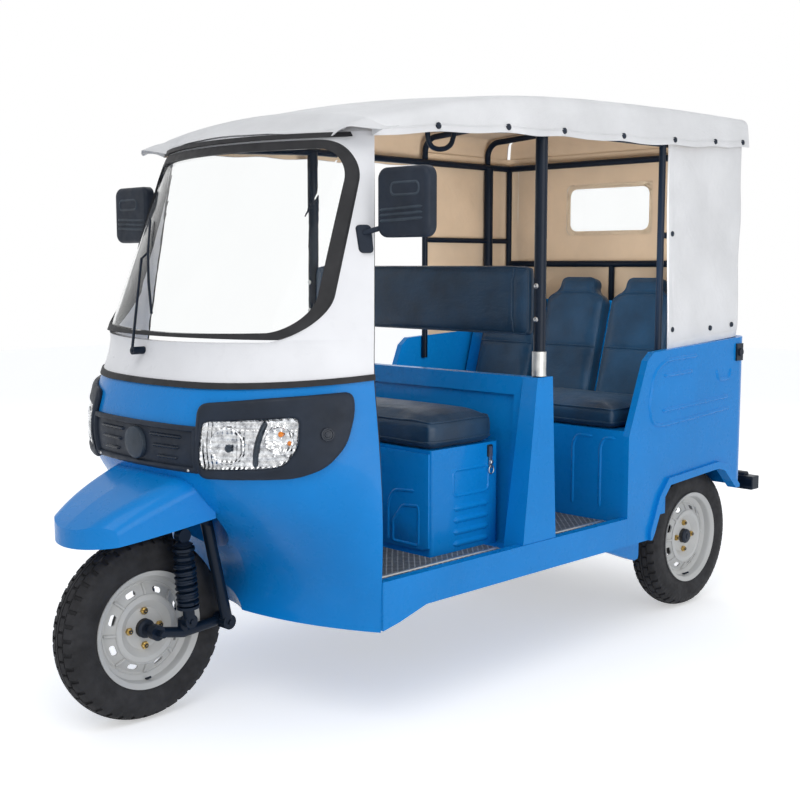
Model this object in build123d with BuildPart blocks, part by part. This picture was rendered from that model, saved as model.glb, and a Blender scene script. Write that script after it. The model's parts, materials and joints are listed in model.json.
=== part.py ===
"""Passenger auto rickshaw: a three-wheeled taxi with a steel tub, a hooded nose and a soft canopy.

Millimetres.  +X points forward, +Y to the vehicle's left, +Z up.  The origin lies on the ground
below the centre of the vehicle's box.
"""
from build123d import *
import math
import os

os.makedirs("parts", exist_ok=True)

# ---------------------------------------------------------------- driving dimensions
SEAT_GAP = 0.3                # clearance between pieces that sit on one another
RUN_GAP = 0.4                 # radial clearance of a turning fit

# Wheels: 4.00-12 tyres on 12 inch pressed discs
WHEELBASE = 2100.0
REAR_AXLE_X = -980.0
TRACK = 910.0
TYRE_R = 264.0
RIM_SHEET = 4.0
DISC_OFFSET = 14.0            # wheel disc's outboard distance from the tyre's middle plane
DISC_SLOTS = 8
NUT_PCD = 100.0
NUT_COUNT = 4
NUT_R = 9.0
HUB_R = 27.0
DRUM_R = 82.0
DRUM_REACH = 22.0             # drum's and hub's reach inboard of the wheel's middle plane
HUB_REACH = 60.0
AXLE_PIN_R = 9.0
HALFSHAFT_R = 15.0
AXLE_END_GAP = 8.0            # between an axle tube's end and the hub
SHAFT_ENTRY = 48.0            # length of the half shafts inside the axle tubes

# Front fork: leading links, raked steering axis
STEER_RAKE = 20.0             # degrees from upright, top to the rear
STEER_GROUND_X = 1224.0       # where the steering axis meets the ground
CROWN_Z = 590.0               # height of the fork crown on the axis
HEAD_TUBE_Z0 = 684.0
HEAD_TUBE_Z1 = 880.0
HEAD_TUBE_R = 30.0
STEM_R = 16.0
BAR_Z = 985.0
BAR_R = 11.0
BAR_HALF = 300.0
BAR_SWEEP = 150.0
BAR_CENTRE = 60.0             # half length of the bar's straight middle
GRIP_R = 16.0
GRIP_LENGTH = 115.0
STEM_HOLE_R = 22.0
FORK_Y = 112.0                # side distance of fork legs, links and shocks
FORK_LEG_R = 17.0
LINK_PIVOT_X = 897.0
LINK_PIVOT_Z = 255.0
LINK_R = 15.0
SHOCK_LEAN = 18.0             # how far the shock's top stands ahead of its foot
SHOCK_FOOT_X = 1030.0
SHOCK_R = 17.0
SPRING_R = 30.0
SPRING_TURNS = 7

# Nose shell, belt and screen
SHELL = 18.0                  # thickness of a cowl or surround wall
WHEEL_HOUSE_R = 292.0         # sphere that the steered wheel turns in
CROWN_HOUSE_R = 185.0         # cylinder that the fork crown turns in
CROWN_HOUSE_Z = 622.0
BELT_X = 729.0
BELT_Z = 988.0
BELT_SLOPE = -0.07
BELT_STRIP = 16.0
TRIM_PROUD = 6.0
SCREEN_HALF_LOW = 494.0
SCREEN_HALF_HIGH = 472.0
SCREEN_Z0 = 1088.0
SCREEN_Z1 = 1628.0
SCREEN_SAG = 12.0             # drop of the lower edge's middle
SCREEN_CORNER_R = 120.0
SEAL_WIDTH = 24.0
GLASS = 6.0
GLASS_INSET = 2.0             # depth of the glass below the surround's surface
GUTTER_Z = 1634.0
GUTTER_HEIGHT = 13.0
GUTTER_END_X = 700.0
DOOR_BACK_X = 560.0           # the nose solids reach back to here and are cut at the door edge
FAR = 1000.0                  # reach of cutting prisms beyond the part

# Fascia, lamps and mudguard
FASCIA_PROUD = 22.0
FASCIA_CORNER_R = 20.0
GRILLE_HALF = 186.0
SLOT_Z0 = 745.0
SLOT_PITCH = 15.0
SLOT_HEIGHT = 8.0
SLOT_COUNT = 7
SLOT_DEPTH = 14.0
BADGE_R = 30.0
BADGE_Z = 790.0
LENS_PROUD = 15.0
GUARD_WALL = 6.0
GUARD_SHOULDER_R = 55.0

# Tub
TUB_HALF = 600.0
WALL = 25.0
DOOR_X = 738.0                # front edge of the driver's doorway
SILL_Z0 = 296.0
SILL_Z0_REAR = 338.0
SILL_Z1 = 432.0
SILL_WIDTH = 30.0
SILL_STEP_X = (676.0, 566.0)  # where the sill's lower edge rises behind the cowl
SILL_STEP_Z = 308.0
FLOOR_Z = 408.0
FLOOR = 43.0
SILL_REAR_X = -418.0
BODY_REAR_X = -1205.0
BODY_CORNER_R = 70.0
PANEL_TOP_Z = 990.0
PANEL_TOP_REAR_Z = 1022.0
PANEL_FRONT_TOP_X = -533.0
PANEL_REAR_Z0 = 448.0
END_PANEL_HALF = 480.0
LIP_WIDTH = 26.0
LIP_PROUD = 12.0
NECK_X = 700.0                # upright neck of the chassis, through the floor
NECK_Z = 780.0
NECK_HALF = 25.0

# Partition behind the driver.  Pairs give values at the floor or sill, then at the top
WALL_FACE_LOW = 69.0
WALL_FACE_HIGH = 25.0
WALL_THICK = 40.0
WALL_TOP_Z = 938.0
RECESS_DEPTH = 15.0
RECESS_HALF = 468.0
RECESS_Z1 = 880.0
PILLAR_LOW = (-26.0, 139.0)
PILLAR_HIGH = (-51.0, 25.0)
PILLAR_IN = (520.0, 500.0)
PILLAR_OUT = (598.0, 558.0)
BOX_BARS = 5
BOX_BAR_PITCH = 150.0
BOX_BAR_HALF = 28.0

# Canopy frame
POST_R = 19.0
POST_X = -10.0
POST_Y = 535.0
DOOR_POST_X = -640.0
THICK_POST_X = -1030.0
REAR_POST_X = -1158.0
REAR_POST_Y = 546.0
POST_FOOT_Z = 905.0
RAIL_Z = 1700.0
RAIL_FRONT_X = 636.0
RAIL_FRONT_Y = 472.0
RAIL_FRONT_Z = 1664.0
WAIST_BAR_Z = 1388.0
REAR_BAR_Z = 1290.0
BAR_TUBE_R = 12.0
RAIL_R = 13.0
CROSS_BAR_R = 10.5
HOOP_BEND_R = 60.0

# Canopy cloth
CLOTH = 6.0
CANOPY_FRONT_X = 670.0
CURTAIN_FRONT_X = -655.0
CURTAIN_Y = 580.0
CURTAIN_REAR_X = -1188.0
CURTAIN_CORNER_R = 60.0
CURTAIN_Z1 = 1742.0
CANOPY_LEAN = 0.12            # slope of the canopy's sides, inwards per unit of height
CANOPY_SHOULDER_R = 30.0
WINDOW_Y = -40.0              # middle of the rear window
WINDOW_HALF = 212.0
WINDOW_Z0 = 1408.0
WINDOW_Z1 = 1618.0

# Seats
BOX_FRONT_X = 378.0
BOX_REAR_X = 72.0
BOX_HALF = 440.0
BOX_Z1 = 735.0
BOX_WALL = 20.0
BOX_BAR_PROUD = 6.0
CUSHION_Z1 = 838.0
CUSHION_FRONT_X = 400.0
CUSHION_REAR_X = 82.0
CUSHION_HALF = 458.0
BACK_Z0 = 1054.0
BACK_Z1 = 1297.0
BACK_THICK = 52.0
REAR_BASE_X = -420.0
REAR_BASE_BACK_X = -1132.0
REAR_BASE_Z = 728.0
WELL_HALF = 375.0             # side distance where the rear wheel wells begin
WELL_X = -690.0
WELL_Z = 575.0
REAR_CUSHION_Z = 815.0
REAR_CUSHION_HALF = 545.0
RECLINE = 15.5                # degrees
BACKREST_X = -795.0           # front face of the rear backrests at their foot
BACKREST_PITCH = 310.0
BACKREST_HALF = 152.0
BACKREST_THICK = 66.0
BACKREST_SHOULDER = 455.0     # lengths along the reclined face
BACKREST_TOP = 528.0
HEADREST_HALF = 92.0
ENGINE_X0 = 102.0
ENGINE_X1 = 308.0
ENGINE_HALF = 180.0
ENGINE_Z0 = 280.0
ENGINE_Z1 = 690.0

# Chassis
RAIL_Y = 250.0
CHASSIS_H = 44.0
CHASSIS_W = 50.0
CHASSIS_REAR_X = -1300.0
CHASSIS_FRONT_X = 725.0
AXLE_TUBE_R = 30.0
DIFF_R = 88.0
SHAFT_R = 18.0
SHAFT_END_GAP = 1.0
SPRING_HALF = 280.0           # half length of a leaf spring
SPRING_THICK = 16.0
BUMPER_X = -1384.0
BUMPER_Z = 450.0
BUMPER_R = 20.0
BUMPER_HALF = 520.0

# ---------------------------------------------------------------- derived places
FRONT_AXLE_X = REAR_AXLE_X + WHEELBASE
SIDES = (("left", 1), ("right", -1))
RAKE = math.radians(STEER_RAKE)


def axis_x(z):
    """x of the steering axis at height z."""
    return STEER_GROUND_X - z * math.tan(RAKE)


def steer_plane(z):
    """Plane square to the steering axis, at height z on it."""
    return Plane(
        origin=(axis_x(z), 0, z),
        x_dir=(math.cos(RAKE), 0, math.sin(RAKE)),
        z_dir=(-math.sin(RAKE), 0, math.cos(RAKE)),
    )


def rod(a, b, radius, mode=Mode.ADD):
    """Round bar from point a to point b, in the builder that is open."""
    run = Vector(*b) - Vector(*a)
    with BuildSketch(Plane(origin=a, z_dir=run)) as section:
        Circle(radius)
    extrude(section.sketch, amount=run.length, mode=mode)


# ---------------------------------------------------------------- nose shell
# Horizontal sections of the nose.  Columns: height, x of the nose, half width of the front
# arc, radius of the front arc, x and y of the door edge.
NOSE_LOW = (
    (290.0, 872.0, 160.0, 3000.0, 738.0, 590.0),
    (600.0, 1008.0, 180.0, 1500.0, 738.0, 598.0),
    (715.0, 1095.0, 200.0, 1300.0, 737.0, 591.0),
    (975.0, 1070.0, 200.0, 1300.0, 730.0, 558.0),
    (1090.0, 1052.0, 300.0, 900.0, 718.0, 546.0),
)
NOSE_HIGH = (
    NOSE_LOW[-1],
    (1650.0, 809.0, 430.0, 833.0, 655.0, 484.0),
)
HEADER = (
    NOSE_HIGH[-1],
    (1690.0, 738.0, 390.0, 900.0, 628.0, 440.0),
    (1716.0, 650.0, 300.0, 1100.0, 600.0, 345.0),
)


def nose_section(row, inset, back):
    """One horizontal section of the nose, moved in by inset and closed at x = back."""
    height, nose_x, arc_half, arc_r, edge_x, edge_y = row
    radius = arc_r - inset
    front_x = nose_x - inset
    end_x = front_x - radius + math.sqrt(radius**2 - arc_half**2)
    edge_y = edge_y - inset
    with BuildSketch(Plane.XY.offset(height)) as section:
        with BuildLine():
            front = ThreePointArc((end_x, -arc_half), (front_x, 0), (end_x, arc_half))
            left = TangentArc(front @ 1, (edge_x, edge_y), tangent=front % 1)
            right = TangentArc(front @ 0, (edge_x, -edge_y), tangent=(front % 0) * -1)
            Polyline(left @ 1, (back, edge_y), (back, -edge_y), right @ 1)
        make_face()
    return section.sketch


def nose_body(rows, inset, back, ruled=False, mode=Mode.ADD):
    """Solid of the nose through the sections in rows, moved in by inset."""
    loft([nose_section(row, inset, back) for row in rows], ruled=ruled, mode=mode)


def nose_layer(rows, outside, inside, ruled=False):
    """Skin of the nose between two insets."""
    with BuildPart() as layer:
        nose_body(rows, outside, DOOR_BACK_X, ruled=ruled)
        nose_body(rows, inside, DOOR_BACK_X - 40, ruled=ruled, mode=Mode.SUBTRACT)
    return layer.part


with BuildPart() as behind_door:              # everything behind the door edges of the nose
    with BuildSketch(Plane.XZ):
        with BuildLine():
            edge = [(row[4], row[0]) for row in NOSE_LOW + NOSE_HIGH[1:] + HEADER[1:]]
            Polyline((edge[0][0], 0), *edge, (edge[-1][0], 2000), (0, 2000), (0, 0), close=True)
        make_face()
    extrude(amount=FAR, both=True)

belt_plane = Plane(
    origin=(BELT_X, 0, BELT_Z), x_dir=(1, 0, BELT_SLOPE), z_dir=(-BELT_SLOPE, 0, 1)
)
strip_top = belt_plane.offset(BELT_STRIP / 2)
strip_bottom = belt_plane.offset(-BELT_STRIP / 2)

with BuildPart() as wheel_house:              # space that the steered wheel and crown turn in
    with Locations((FRONT_AXLE_X, 0, TYRE_R)):
        Sphere(WHEEL_HOUSE_R)
    with BuildSketch(steer_plane(CROWN_HOUSE_Z)) as crown_section:
        Circle(CROWN_HOUSE_R)
    extrude(crown_section.sketch, amount=-350)


def nose_room(gap):
    """Room inside the cowl, around the wheel house's wall, smaller all round by gap."""
    with BuildPart() as room:
        nose_body(NOSE_LOW, SHELL + gap, DOOR_BACK_X - 40)
        with Locations((FRONT_AXLE_X, 0, TYRE_R)):
            Sphere(WHEEL_HOUSE_R + SHELL + gap, mode=Mode.SUBTRACT)
        with BuildSketch(steer_plane(CROWN_HOUSE_Z + SHELL + gap)) as crown_wall:
            Circle(CROWN_HOUSE_R + SHELL + gap)
        extrude(crown_wall.sketch, amount=-350, mode=Mode.SUBTRACT)
    return room.part


with BuildPart() as front_cowl:
    nose_body(NOSE_LOW, 0, DOOR_BACK_X)
    add(nose_room(0), mode=Mode.SUBTRACT)
    add(wheel_house.part, mode=Mode.SUBTRACT)
    add(behind_door.part, mode=Mode.SUBTRACT)
    with BuildSketch(steer_plane(CROWN_Z)) as stem_hole:
        Circle(STEM_HOLE_R)
    extrude(stem_hole.sketch, amount=90, mode=Mode.SUBTRACT)
    split(bisect_by=strip_bottom, keep=Keep.BOTTOM)
front_cowl.part.label = "front_cowl"
export_step(front_cowl.part, "parts/front_cowl.step")


def screen_outline(grow):
    """Prism along X inside the screen's outline, grown by grow."""
    low, high = SCREEN_HALF_LOW + grow, SCREEN_HALF_HIGH + grow
    z0, z1 = SCREEN_Z0 - grow, SCREEN_Z1 + grow
    with BuildPart() as prism:
        with BuildSketch(Plane.YZ.offset(500)) as frame:
            with BuildLine():
                lower = ThreePointArc((-low, z0), (0, z0 - SCREEN_SAG), (low, z0))
                Polyline(lower @ 1, (high, z1), (-high, z1), lower @ 0)
            make_face()
            fillet(frame.vertices(), SCREEN_CORNER_R + grow)
        extrude(amount=FAR)
    return prism.part


with BuildPart() as windshield_surround:
    add(nose_layer(NOSE_LOW, 0, SHELL))
    add(nose_layer(NOSE_HIGH, 0, SHELL, ruled=True))
    add(behind_door.part, mode=Mode.SUBTRACT)
    add(screen_outline(SEAT_GAP), mode=Mode.SUBTRACT)
    split(bisect_by=strip_top, keep=Keep.TOP)
windshield_surround.part.label = "windshield_surround"
export_step(windshield_surround.part, "parts/windshield_surround.step")

with BuildPart() as windshield_seal:
    add(nose_layer(NOSE_HIGH, -TRIM_PROUD, SHELL + 2, ruled=True))
    add(screen_outline(0), mode=Mode.INTERSECT)
    add(screen_outline(-SEAL_WIDTH), mode=Mode.SUBTRACT)
windshield_seal.part.label = "windshield_seal"
export_step(windshield_seal.part, "parts/windshield_seal.step")

with BuildPart() as windshield_glass:
    add(nose_layer(NOSE_HIGH, GLASS_INSET, GLASS_INSET + GLASS, ruled=True))
    add(screen_outline(-SEAL_WIDTH - SEAT_GAP), mode=Mode.INTERSECT)
windshield_glass.part.label = "windshield_glass"
export_step(windshield_glass.part, "parts/windshield_glass.step")

with BuildPart() as belt_strip:               # between cowl and surround
    add(nose_layer(NOSE_LOW, -TRIM_PROUD, SHELL))
    add(behind_door.part, mode=Mode.SUBTRACT)
    split(bisect_by=strip_top.offset(-SEAT_GAP), keep=Keep.BOTTOM)
    split(bisect_by=strip_bottom.offset(SEAT_GAP), keep=Keep.TOP)

with BuildPart() as gutter:
    add(nose_layer(NOSE_HIGH, -2 * TRIM_PROUD, -SEAT_GAP, ruled=True))
    with BuildSketch(Plane.XY.offset(GUTTER_Z)) as gutter_section:
        Rectangle(3 * FAR, 3 * FAR)
    extrude(gutter_section.sketch, amount=GUTTER_HEIGHT, mode=Mode.INTERSECT)
    split(bisect_by=Plane.YZ.offset(GUTTER_END_X), keep=Keep.TOP)

with BuildPart() as cowl_trim:                # belt strip and gutter
    add(belt_strip.part)
    add(gutter.part)
cowl_trim.part.label = "cowl_trim"
export_step(cowl_trim.part, "parts/cowl_trim.step")

HEADER_ROOM = tuple((row[0] - SHELL,) + row[1:] for row in HEADER)
with BuildPart() as roof_header:              # capping over the screen, open below
    nose_body(HEADER, 0, DOOR_BACK_X)
    nose_body(HEADER_ROOM, SHELL, DOOR_BACK_X - 40, mode=Mode.SUBTRACT)
    add(behind_door.part, mode=Mode.SUBTRACT)
    split(bisect_by=Plane.XY.offset(HEADER[0][0] + SEAT_GAP), keep=Keep.TOP)
roof_header.part.label = "roof_header"
export_step(roof_header.part, "parts/roof_header.step")


# ---------------------------------------------------------------- nose fittings
def front_prism(points, radius, side=1):
    """Prism along X through the front view outline of y, z points; side = -1 mirrors it."""
    with BuildPart() as prism:
        with BuildSketch(Plane.YZ.offset(500)) as outline:
            with BuildLine():
                Polyline(*[(side * y, z) for y, z in points], close=True)
            make_face()
            fillet(outline.vertices(), radius)
        extrude(amount=FAR)
    return prism.part


# Half outline of the fascia in front view, columns y and z
FASCIA_HALF = (
    (198, 852), (232, 906), (538, 942), (524, 822), (492, 744), (440, 714), (236, 702), (200, 722),
)
LAMP_OUTLINE = ((238, 750), (233, 851), (455, 883), (463, 846), (420, 762))

with BuildPart() as grille_slots:
    add(nose_layer(NOSE_LOW, -FASCIA_PROUD - 4, SLOT_DEPTH - FASCIA_PROUD))
    with BuildSketch(Plane.YZ.offset(500)) as slots:
        for row in range(SLOT_COUNT):
            with Locations((0, SLOT_Z0 + row * SLOT_PITCH)):
                Rectangle(2 * GRILLE_HALF, SLOT_HEIGHT)
        with Locations((0, BADGE_Z)):
            Circle(BADGE_R, mode=Mode.SUBTRACT)
    extrude(slots.sketch, amount=FAR, mode=Mode.INTERSECT)

with BuildPart() as nose_fascia:
    add(nose_layer(NOSE_LOW, -FASCIA_PROUD, -SEAT_GAP))
    add(
        front_prism(FASCIA_HALF + tuple((-y, z) for y, z in FASCIA_HALF[::-1]), FASCIA_CORNER_R),
        mode=Mode.INTERSECT,
    )
    for name, side in SIDES:
        add(front_prism(LAMP_OUTLINE, 14, side), mode=Mode.SUBTRACT)
    add(grille_slots.part, mode=Mode.SUBTRACT)
nose_fascia.part.label = "nose_fascia"
export_step(nose_fascia.part, "parts/nose_fascia.step")

with BuildPart() as headlamps:
    with BuildSketch(Plane.YZ.offset(500)) as lamp_faces:
        for name, side in SIDES:
            with BuildLine():
                Polyline(*[(side * y, z) for y, z in LAMP_OUTLINE], close=True)
            make_face()
        fillet(lamp_faces.vertices(), 14)
        offset(amount=-SEAT_GAP)
    extrude(lamp_faces.sketch, amount=FAR)
    add(nose_layer(NOSE_LOW, -LENS_PROUD, -SEAT_GAP), mode=Mode.INTERSECT)
headlamps.part.label = "headlamps"
export_step(headlamps.part, "parts/headlamps.step")

# Cross sections of the mudguard.  Columns: x, half width, height of the top
GUARD_SECTIONS = (
    (1000.0, 205.0, 750.0),
    (1098.0, 192.0, 712.0),
    (1206.0, 172.0, 669.0),
    (1330.0, 132.0, 600.0),
    (1372.0, 112.0, 568.0),
)
GUARD_TIP_X = 1350.0
GUARD_LOW = ((950.0, 598.0), (GUARD_TIP_X, 533.0))   # x and z of the lower edge's ends


def guard_body(inset, tip):
    """Solid under the mudguard's skin, moved in by inset, out to a rounded tip at x = tip."""
    with BuildPart() as body:
        sections = []
        for x, half, top in GUARD_SECTIONS:
            with BuildSketch(Plane.YZ.offset(x)) as section:
                with BuildLine():
                    edge = half - inset
                    Polyline(
                        (-edge, 400), (-edge, top - inset - 8), (0, top - inset),
                        (edge, top - inset - 8), (edge, 400), close=True,
                    )
                make_face()
                corners = section.vertices().group_by(Axis.Y)[1]
                fillet(corners, GUARD_SHOULDER_R - inset)
            sections.append(section.sketch)
        loft(sections, ruled=False)
        with BuildSketch(Plane.XY.offset(400)) as plan:
            with BuildLine():
                side_y = GUARD_SECTIONS[0][1] + 20
                Polyline(
                    (tip - 70, -150), (tip - 170, -side_y), (900, -side_y), (900, side_y),
                    (tip - 170, side_y), (tip - 70, 150),
                )
                ThreePointArc((tip - 70, -150), (tip, 0), (tip - 70, 150))
            make_face()
        extrude(plan.sketch, amount=500, mode=Mode.INTERSECT)
    return body.part


with BuildPart() as front_mudguard:
    add(guard_body(0, GUARD_TIP_X))
    add(guard_body(GUARD_WALL, GUARD_TIP_X - GUARD_WALL), mode=Mode.SUBTRACT)
    nose_body(NOSE_LOW, -SEAT_GAP, DOOR_BACK_X, mode=Mode.SUBTRACT)
    with BuildSketch(Plane.XZ) as below:
        with BuildLine():
            Polyline((800, 0), (800, 621.2), *GUARD_LOW, (1500, 513.1), (1500, 0), close=True)
        make_face()
    extrude(below.sketch, amount=FAR, both=True, mode=Mode.SUBTRACT)
front_mudguard.part.label = "front_mudguard"
export_step(front_mudguard.part, "parts/front_mudguard.step")


# ---------------------------------------------------------------- tub
def side_view_prism(points, y0, y1, radius=0.0):
    """Prism along Y, from y0 to y1, through the side view outline of x, z points."""
    with BuildPart() as prism:
        with BuildSketch(Plane.XZ.offset(-y0)) as outline:
            with BuildLine():
                Polyline(*points, close=True)
            make_face()
            if radius > 0:
                fillet(outline.vertices(), radius)
        extrude(amount=y0 - y1)
    return prism.part


def block(x0, x1, y0, y1, z0, z1, mode=Mode.ADD):
    """Box between two corners, in the builder that is open."""
    with BuildSketch(Plane.XY.offset(z0)) as base:
        with BuildLine():
            Polyline((x0, y0), (x1, y0), (x1, y1), (x0, y1), close=True)
        make_face()
    extrude(base.sketch, amount=z1 - z0, mode=mode)


SILL_INNER = TUB_HALF - SILL_WIDTH
SILL_FRONT_X = DOOR_X - SEAT_GAP
SILL_OUTLINE = (
    (SILL_FRONT_X, SILL_Z0), (SILL_FRONT_X, SILL_Z1), (SILL_REAR_X, SILL_Z1),
    (SILL_REAR_X, SILL_Z0_REAR), (SILL_STEP_X[1], SILL_Z0_REAR), (SILL_STEP_X[0], SILL_STEP_Z),
)
with BuildPart() as nose_floor:               # the floor's front part, inside the cowl
    add(nose_room(SEAT_GAP))
    with BuildSketch(Plane.XY.offset(FLOOR_Z - FLOOR)) as slab:
        Rectangle(3 * FAR, 3 * FAR)
    extrude(slab.sketch, amount=FLOOR, mode=Mode.INTERSECT)

with BuildPart() as floor_pan:
    block(SILL_REAR_X, DOOR_BACK_X, -SILL_INNER, SILL_INNER, FLOOR_Z - FLOOR, FLOOR_Z)
    add(nose_floor.part)
    for name, side in SIDES:
        add(side_view_prism(SILL_OUTLINE, side * SILL_INNER, side * TUB_HALF))
    block(
        NECK_X - NECK_HALF - 6, NECK_X + NECK_HALF + 6, -NECK_HALF - 6, NECK_HALF + 6,
        FLOOR_Z - 2 * FLOOR, FLOOR_Z + FLOOR, mode=Mode.SUBTRACT,
    )
    block(
        ENGINE_X0 - 8, ENGINE_X1 + 8, -ENGINE_HALF - 8, ENGINE_HALF + 8,
        FLOOR_Z - 2 * FLOOR, FLOOR_Z + FLOOR, mode=Mode.SUBTRACT,
    )
floor_pan.part.label = "floor_pan"
export_step(floor_pan.part, "parts/floor_pan.step")

MAT = 5.0
MAT_MARGIN = 6.0
with BuildPart() as floor_mats:               # driver's mat, and the passengers' mat
    block(
        PILLAR_LOW[1] + MAT_MARGIN, NECK_X - NECK_HALF - MAT_MARGIN, -SILL_INNER + MAT_MARGIN,
        SILL_INNER - MAT_MARGIN, FLOOR_Z + SEAT_GAP, FLOOR_Z + MAT,
    )
    block(
        BOX_REAR_X, BOX_FRONT_X + BOX_BAR_PROUD + MAT_MARGIN, -BOX_HALF - MAT_MARGIN,
        BOX_HALF + MAT_MARGIN, FLOOR_Z, FLOOR_Z + FLOOR, mode=Mode.SUBTRACT,
    )
    block(
        REAR_BASE_X + MAT_MARGIN, PILLAR_LOW[0] - MAT_MARGIN, -SILL_INNER + MAT_MARGIN,
        SILL_INNER - MAT_MARGIN, FLOOR_Z + SEAT_GAP, FLOOR_Z + MAT,
    )
floor_mats.part.label = "floor_mats"
export_step(floor_mats.part, "parts/floor_mats.step")


# ---------------------------------------------------------------- partition and seats
def leaning_post(x_low, x_high, y_low, y_high, z_low, z_high):
    """Post between two level rectangles, each given by its x and y ranges."""
    sections = []
    for (x0, x1), (y0, y1), z in ((x_low, y_low, z_low), (x_high, y_high, z_high)):
        with BuildSketch(Plane.XY.offset(z)) as section:
            with BuildLine():
                Polyline((x0, y0), (x1, y0), (x1, y1), (x0, y1), close=True)
            make_face()
        sections.append(section.sketch)
    loft(sections)


with BuildPart() as recess:
    leaning_post(
        (WALL_FACE_LOW - RECESS_DEPTH, WALL_FACE_LOW + 9),
        (WALL_FACE_HIGH - RECESS_DEPTH, WALL_FACE_HIGH + 9),
        (-RECESS_HALF, RECESS_HALF), (-RECESS_HALF, RECESS_HALF),
        FLOOR_Z - 1, WALL_TOP_Z,
    )
    split(bisect_by=Plane.XY.offset(RECESS_Z1), keep=Keep.BOTTOM)

with BuildPart() as partition:
    leaning_post(
        (WALL_FACE_LOW - WALL_THICK, WALL_FACE_LOW), (WALL_FACE_HIGH - WALL_THICK, WALL_FACE_HIGH),
        (-SILL_INNER + SEAT_GAP, SILL_INNER - SEAT_GAP), (-PILLAR_IN[1], PILLAR_IN[1]),
        FLOOR_Z + SEAT_GAP, WALL_TOP_Z,
    )
    add(recess.part, mode=Mode.SUBTRACT)
    for name, side in SIDES:
        leaning_post(
            (PILLAR_LOW[0], PILLAR_LOW[1]), (PILLAR_HIGH[0], PILLAR_HIGH[1]),
            (side * PILLAR_IN[0], side * PILLAR_OUT[0]), (side * PILLAR_IN[1], side * PILLAR_OUT[1]),
            FLOOR_Z + SEAT_GAP, WALL_TOP_Z,
        )
        block(
            PILLAR_LOW[0] - MAT_MARGIN, PILLAR_LOW[1] + MAT_MARGIN,
            *sorted((side * (SILL_INNER - SEAT_GAP), side * FAR)),
            FLOOR_Z, SILL_Z1 + SEAT_GAP, mode=Mode.SUBTRACT,
        )
partition.part.label = "partition"
export_step(partition.part, "parts/partition.step")

with BuildPart() as driver_seat_box:
    block(BOX_REAR_X, BOX_FRONT_X, -BOX_HALF, BOX_HALF, FLOOR_Z + SEAT_GAP, BOX_Z1)
    fillet(driver_seat_box.edges().filter_by(Axis.Z), 12)
    block(
        BOX_REAR_X + BOX_WALL, BOX_FRONT_X - BOX_WALL, -BOX_HALF + BOX_WALL, BOX_HALF - BOX_WALL,
        FLOOR_Z - 1, BOX_Z1 - BOX_WALL, mode=Mode.SUBTRACT,
    )
    for bar in range(BOX_BARS):
        y = (bar - (BOX_BARS - 1) / 2) * BOX_BAR_PITCH
        block(
            BOX_FRONT_X, BOX_FRONT_X + BOX_BAR_PROUD, y - BOX_BAR_HALF, y + BOX_BAR_HALF,
            FLOOR_Z + 60, BOX_Z1 - 50,
        )
driver_seat_box.part.label = "driver_seat_box"
export_step(driver_seat_box.part, "parts/driver_seat_box.step")

with BuildPart() as engine_block:
    block(ENGINE_X0, ENGINE_X1, -ENGINE_HALF, ENGINE_HALF, ENGINE_Z0, ENGINE_Z1)
engine_block.part.label = "engine_block"
export_step(engine_block.part, "parts/engine_block.step")

with BuildPart() as driver_cushion:
    block(
        CUSHION_REAR_X, CUSHION_FRONT_X, -CUSHION_HALF, CUSHION_HALF, BOX_Z1 + SEAT_GAP, CUSHION_Z1,
    )
    fillet(driver_cushion.edges().filter_by(Axis.Z), 40)
    fillet(driver_cushion.faces().sort_by(Axis.Z)[-1].edges(), 26)
driver_cushion.part.label = "driver_cushion"
export_step(driver_cushion.part, "parts/driver_cushion.step")

BACK_HALF = POST_Y - POST_R - SEAT_GAP
with BuildPart() as driver_backrest:
    block(
        POST_X - BACK_THICK / 2, POST_X + BACK_THICK / 2, -BACK_HALF, BACK_HALF, BACK_Z0, BACK_Z1,
    )
    fillet(driver_backrest.edges().filter_by(Axis.X), 34)
    fillet(driver_backrest.faces().sort_by(Axis.X)[-1].edges(), 18)
    fillet(driver_backrest.faces().sort_by(Axis.X)[0].edges(), 18)
driver_backrest.part.label = "driver_backrest"
export_step(driver_backrest.part, "parts/driver_backrest.step")

BASE_HALF = TUB_HALF - WALL - SEAT_GAP
LEAN = math.radians(RECLINE)
BACK_DROP = BACKREST_THICK * math.sin(LEAN)
BACK_FOOT_Z = REAR_BASE_Z + BACK_DROP + SEAT_GAP


def recline_plane(depth):
    """Plane of the reclined back, moved back from its front face by depth."""
    return Plane(
        origin=(
            BACKREST_X - depth * math.cos(LEAN), 0, BACK_FOOT_Z - depth * math.sin(LEAN)
        ),
        x_dir=(0, 1, 0),
        z_dir=(math.cos(LEAN), 0, math.sin(LEAN)),
    )


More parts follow.
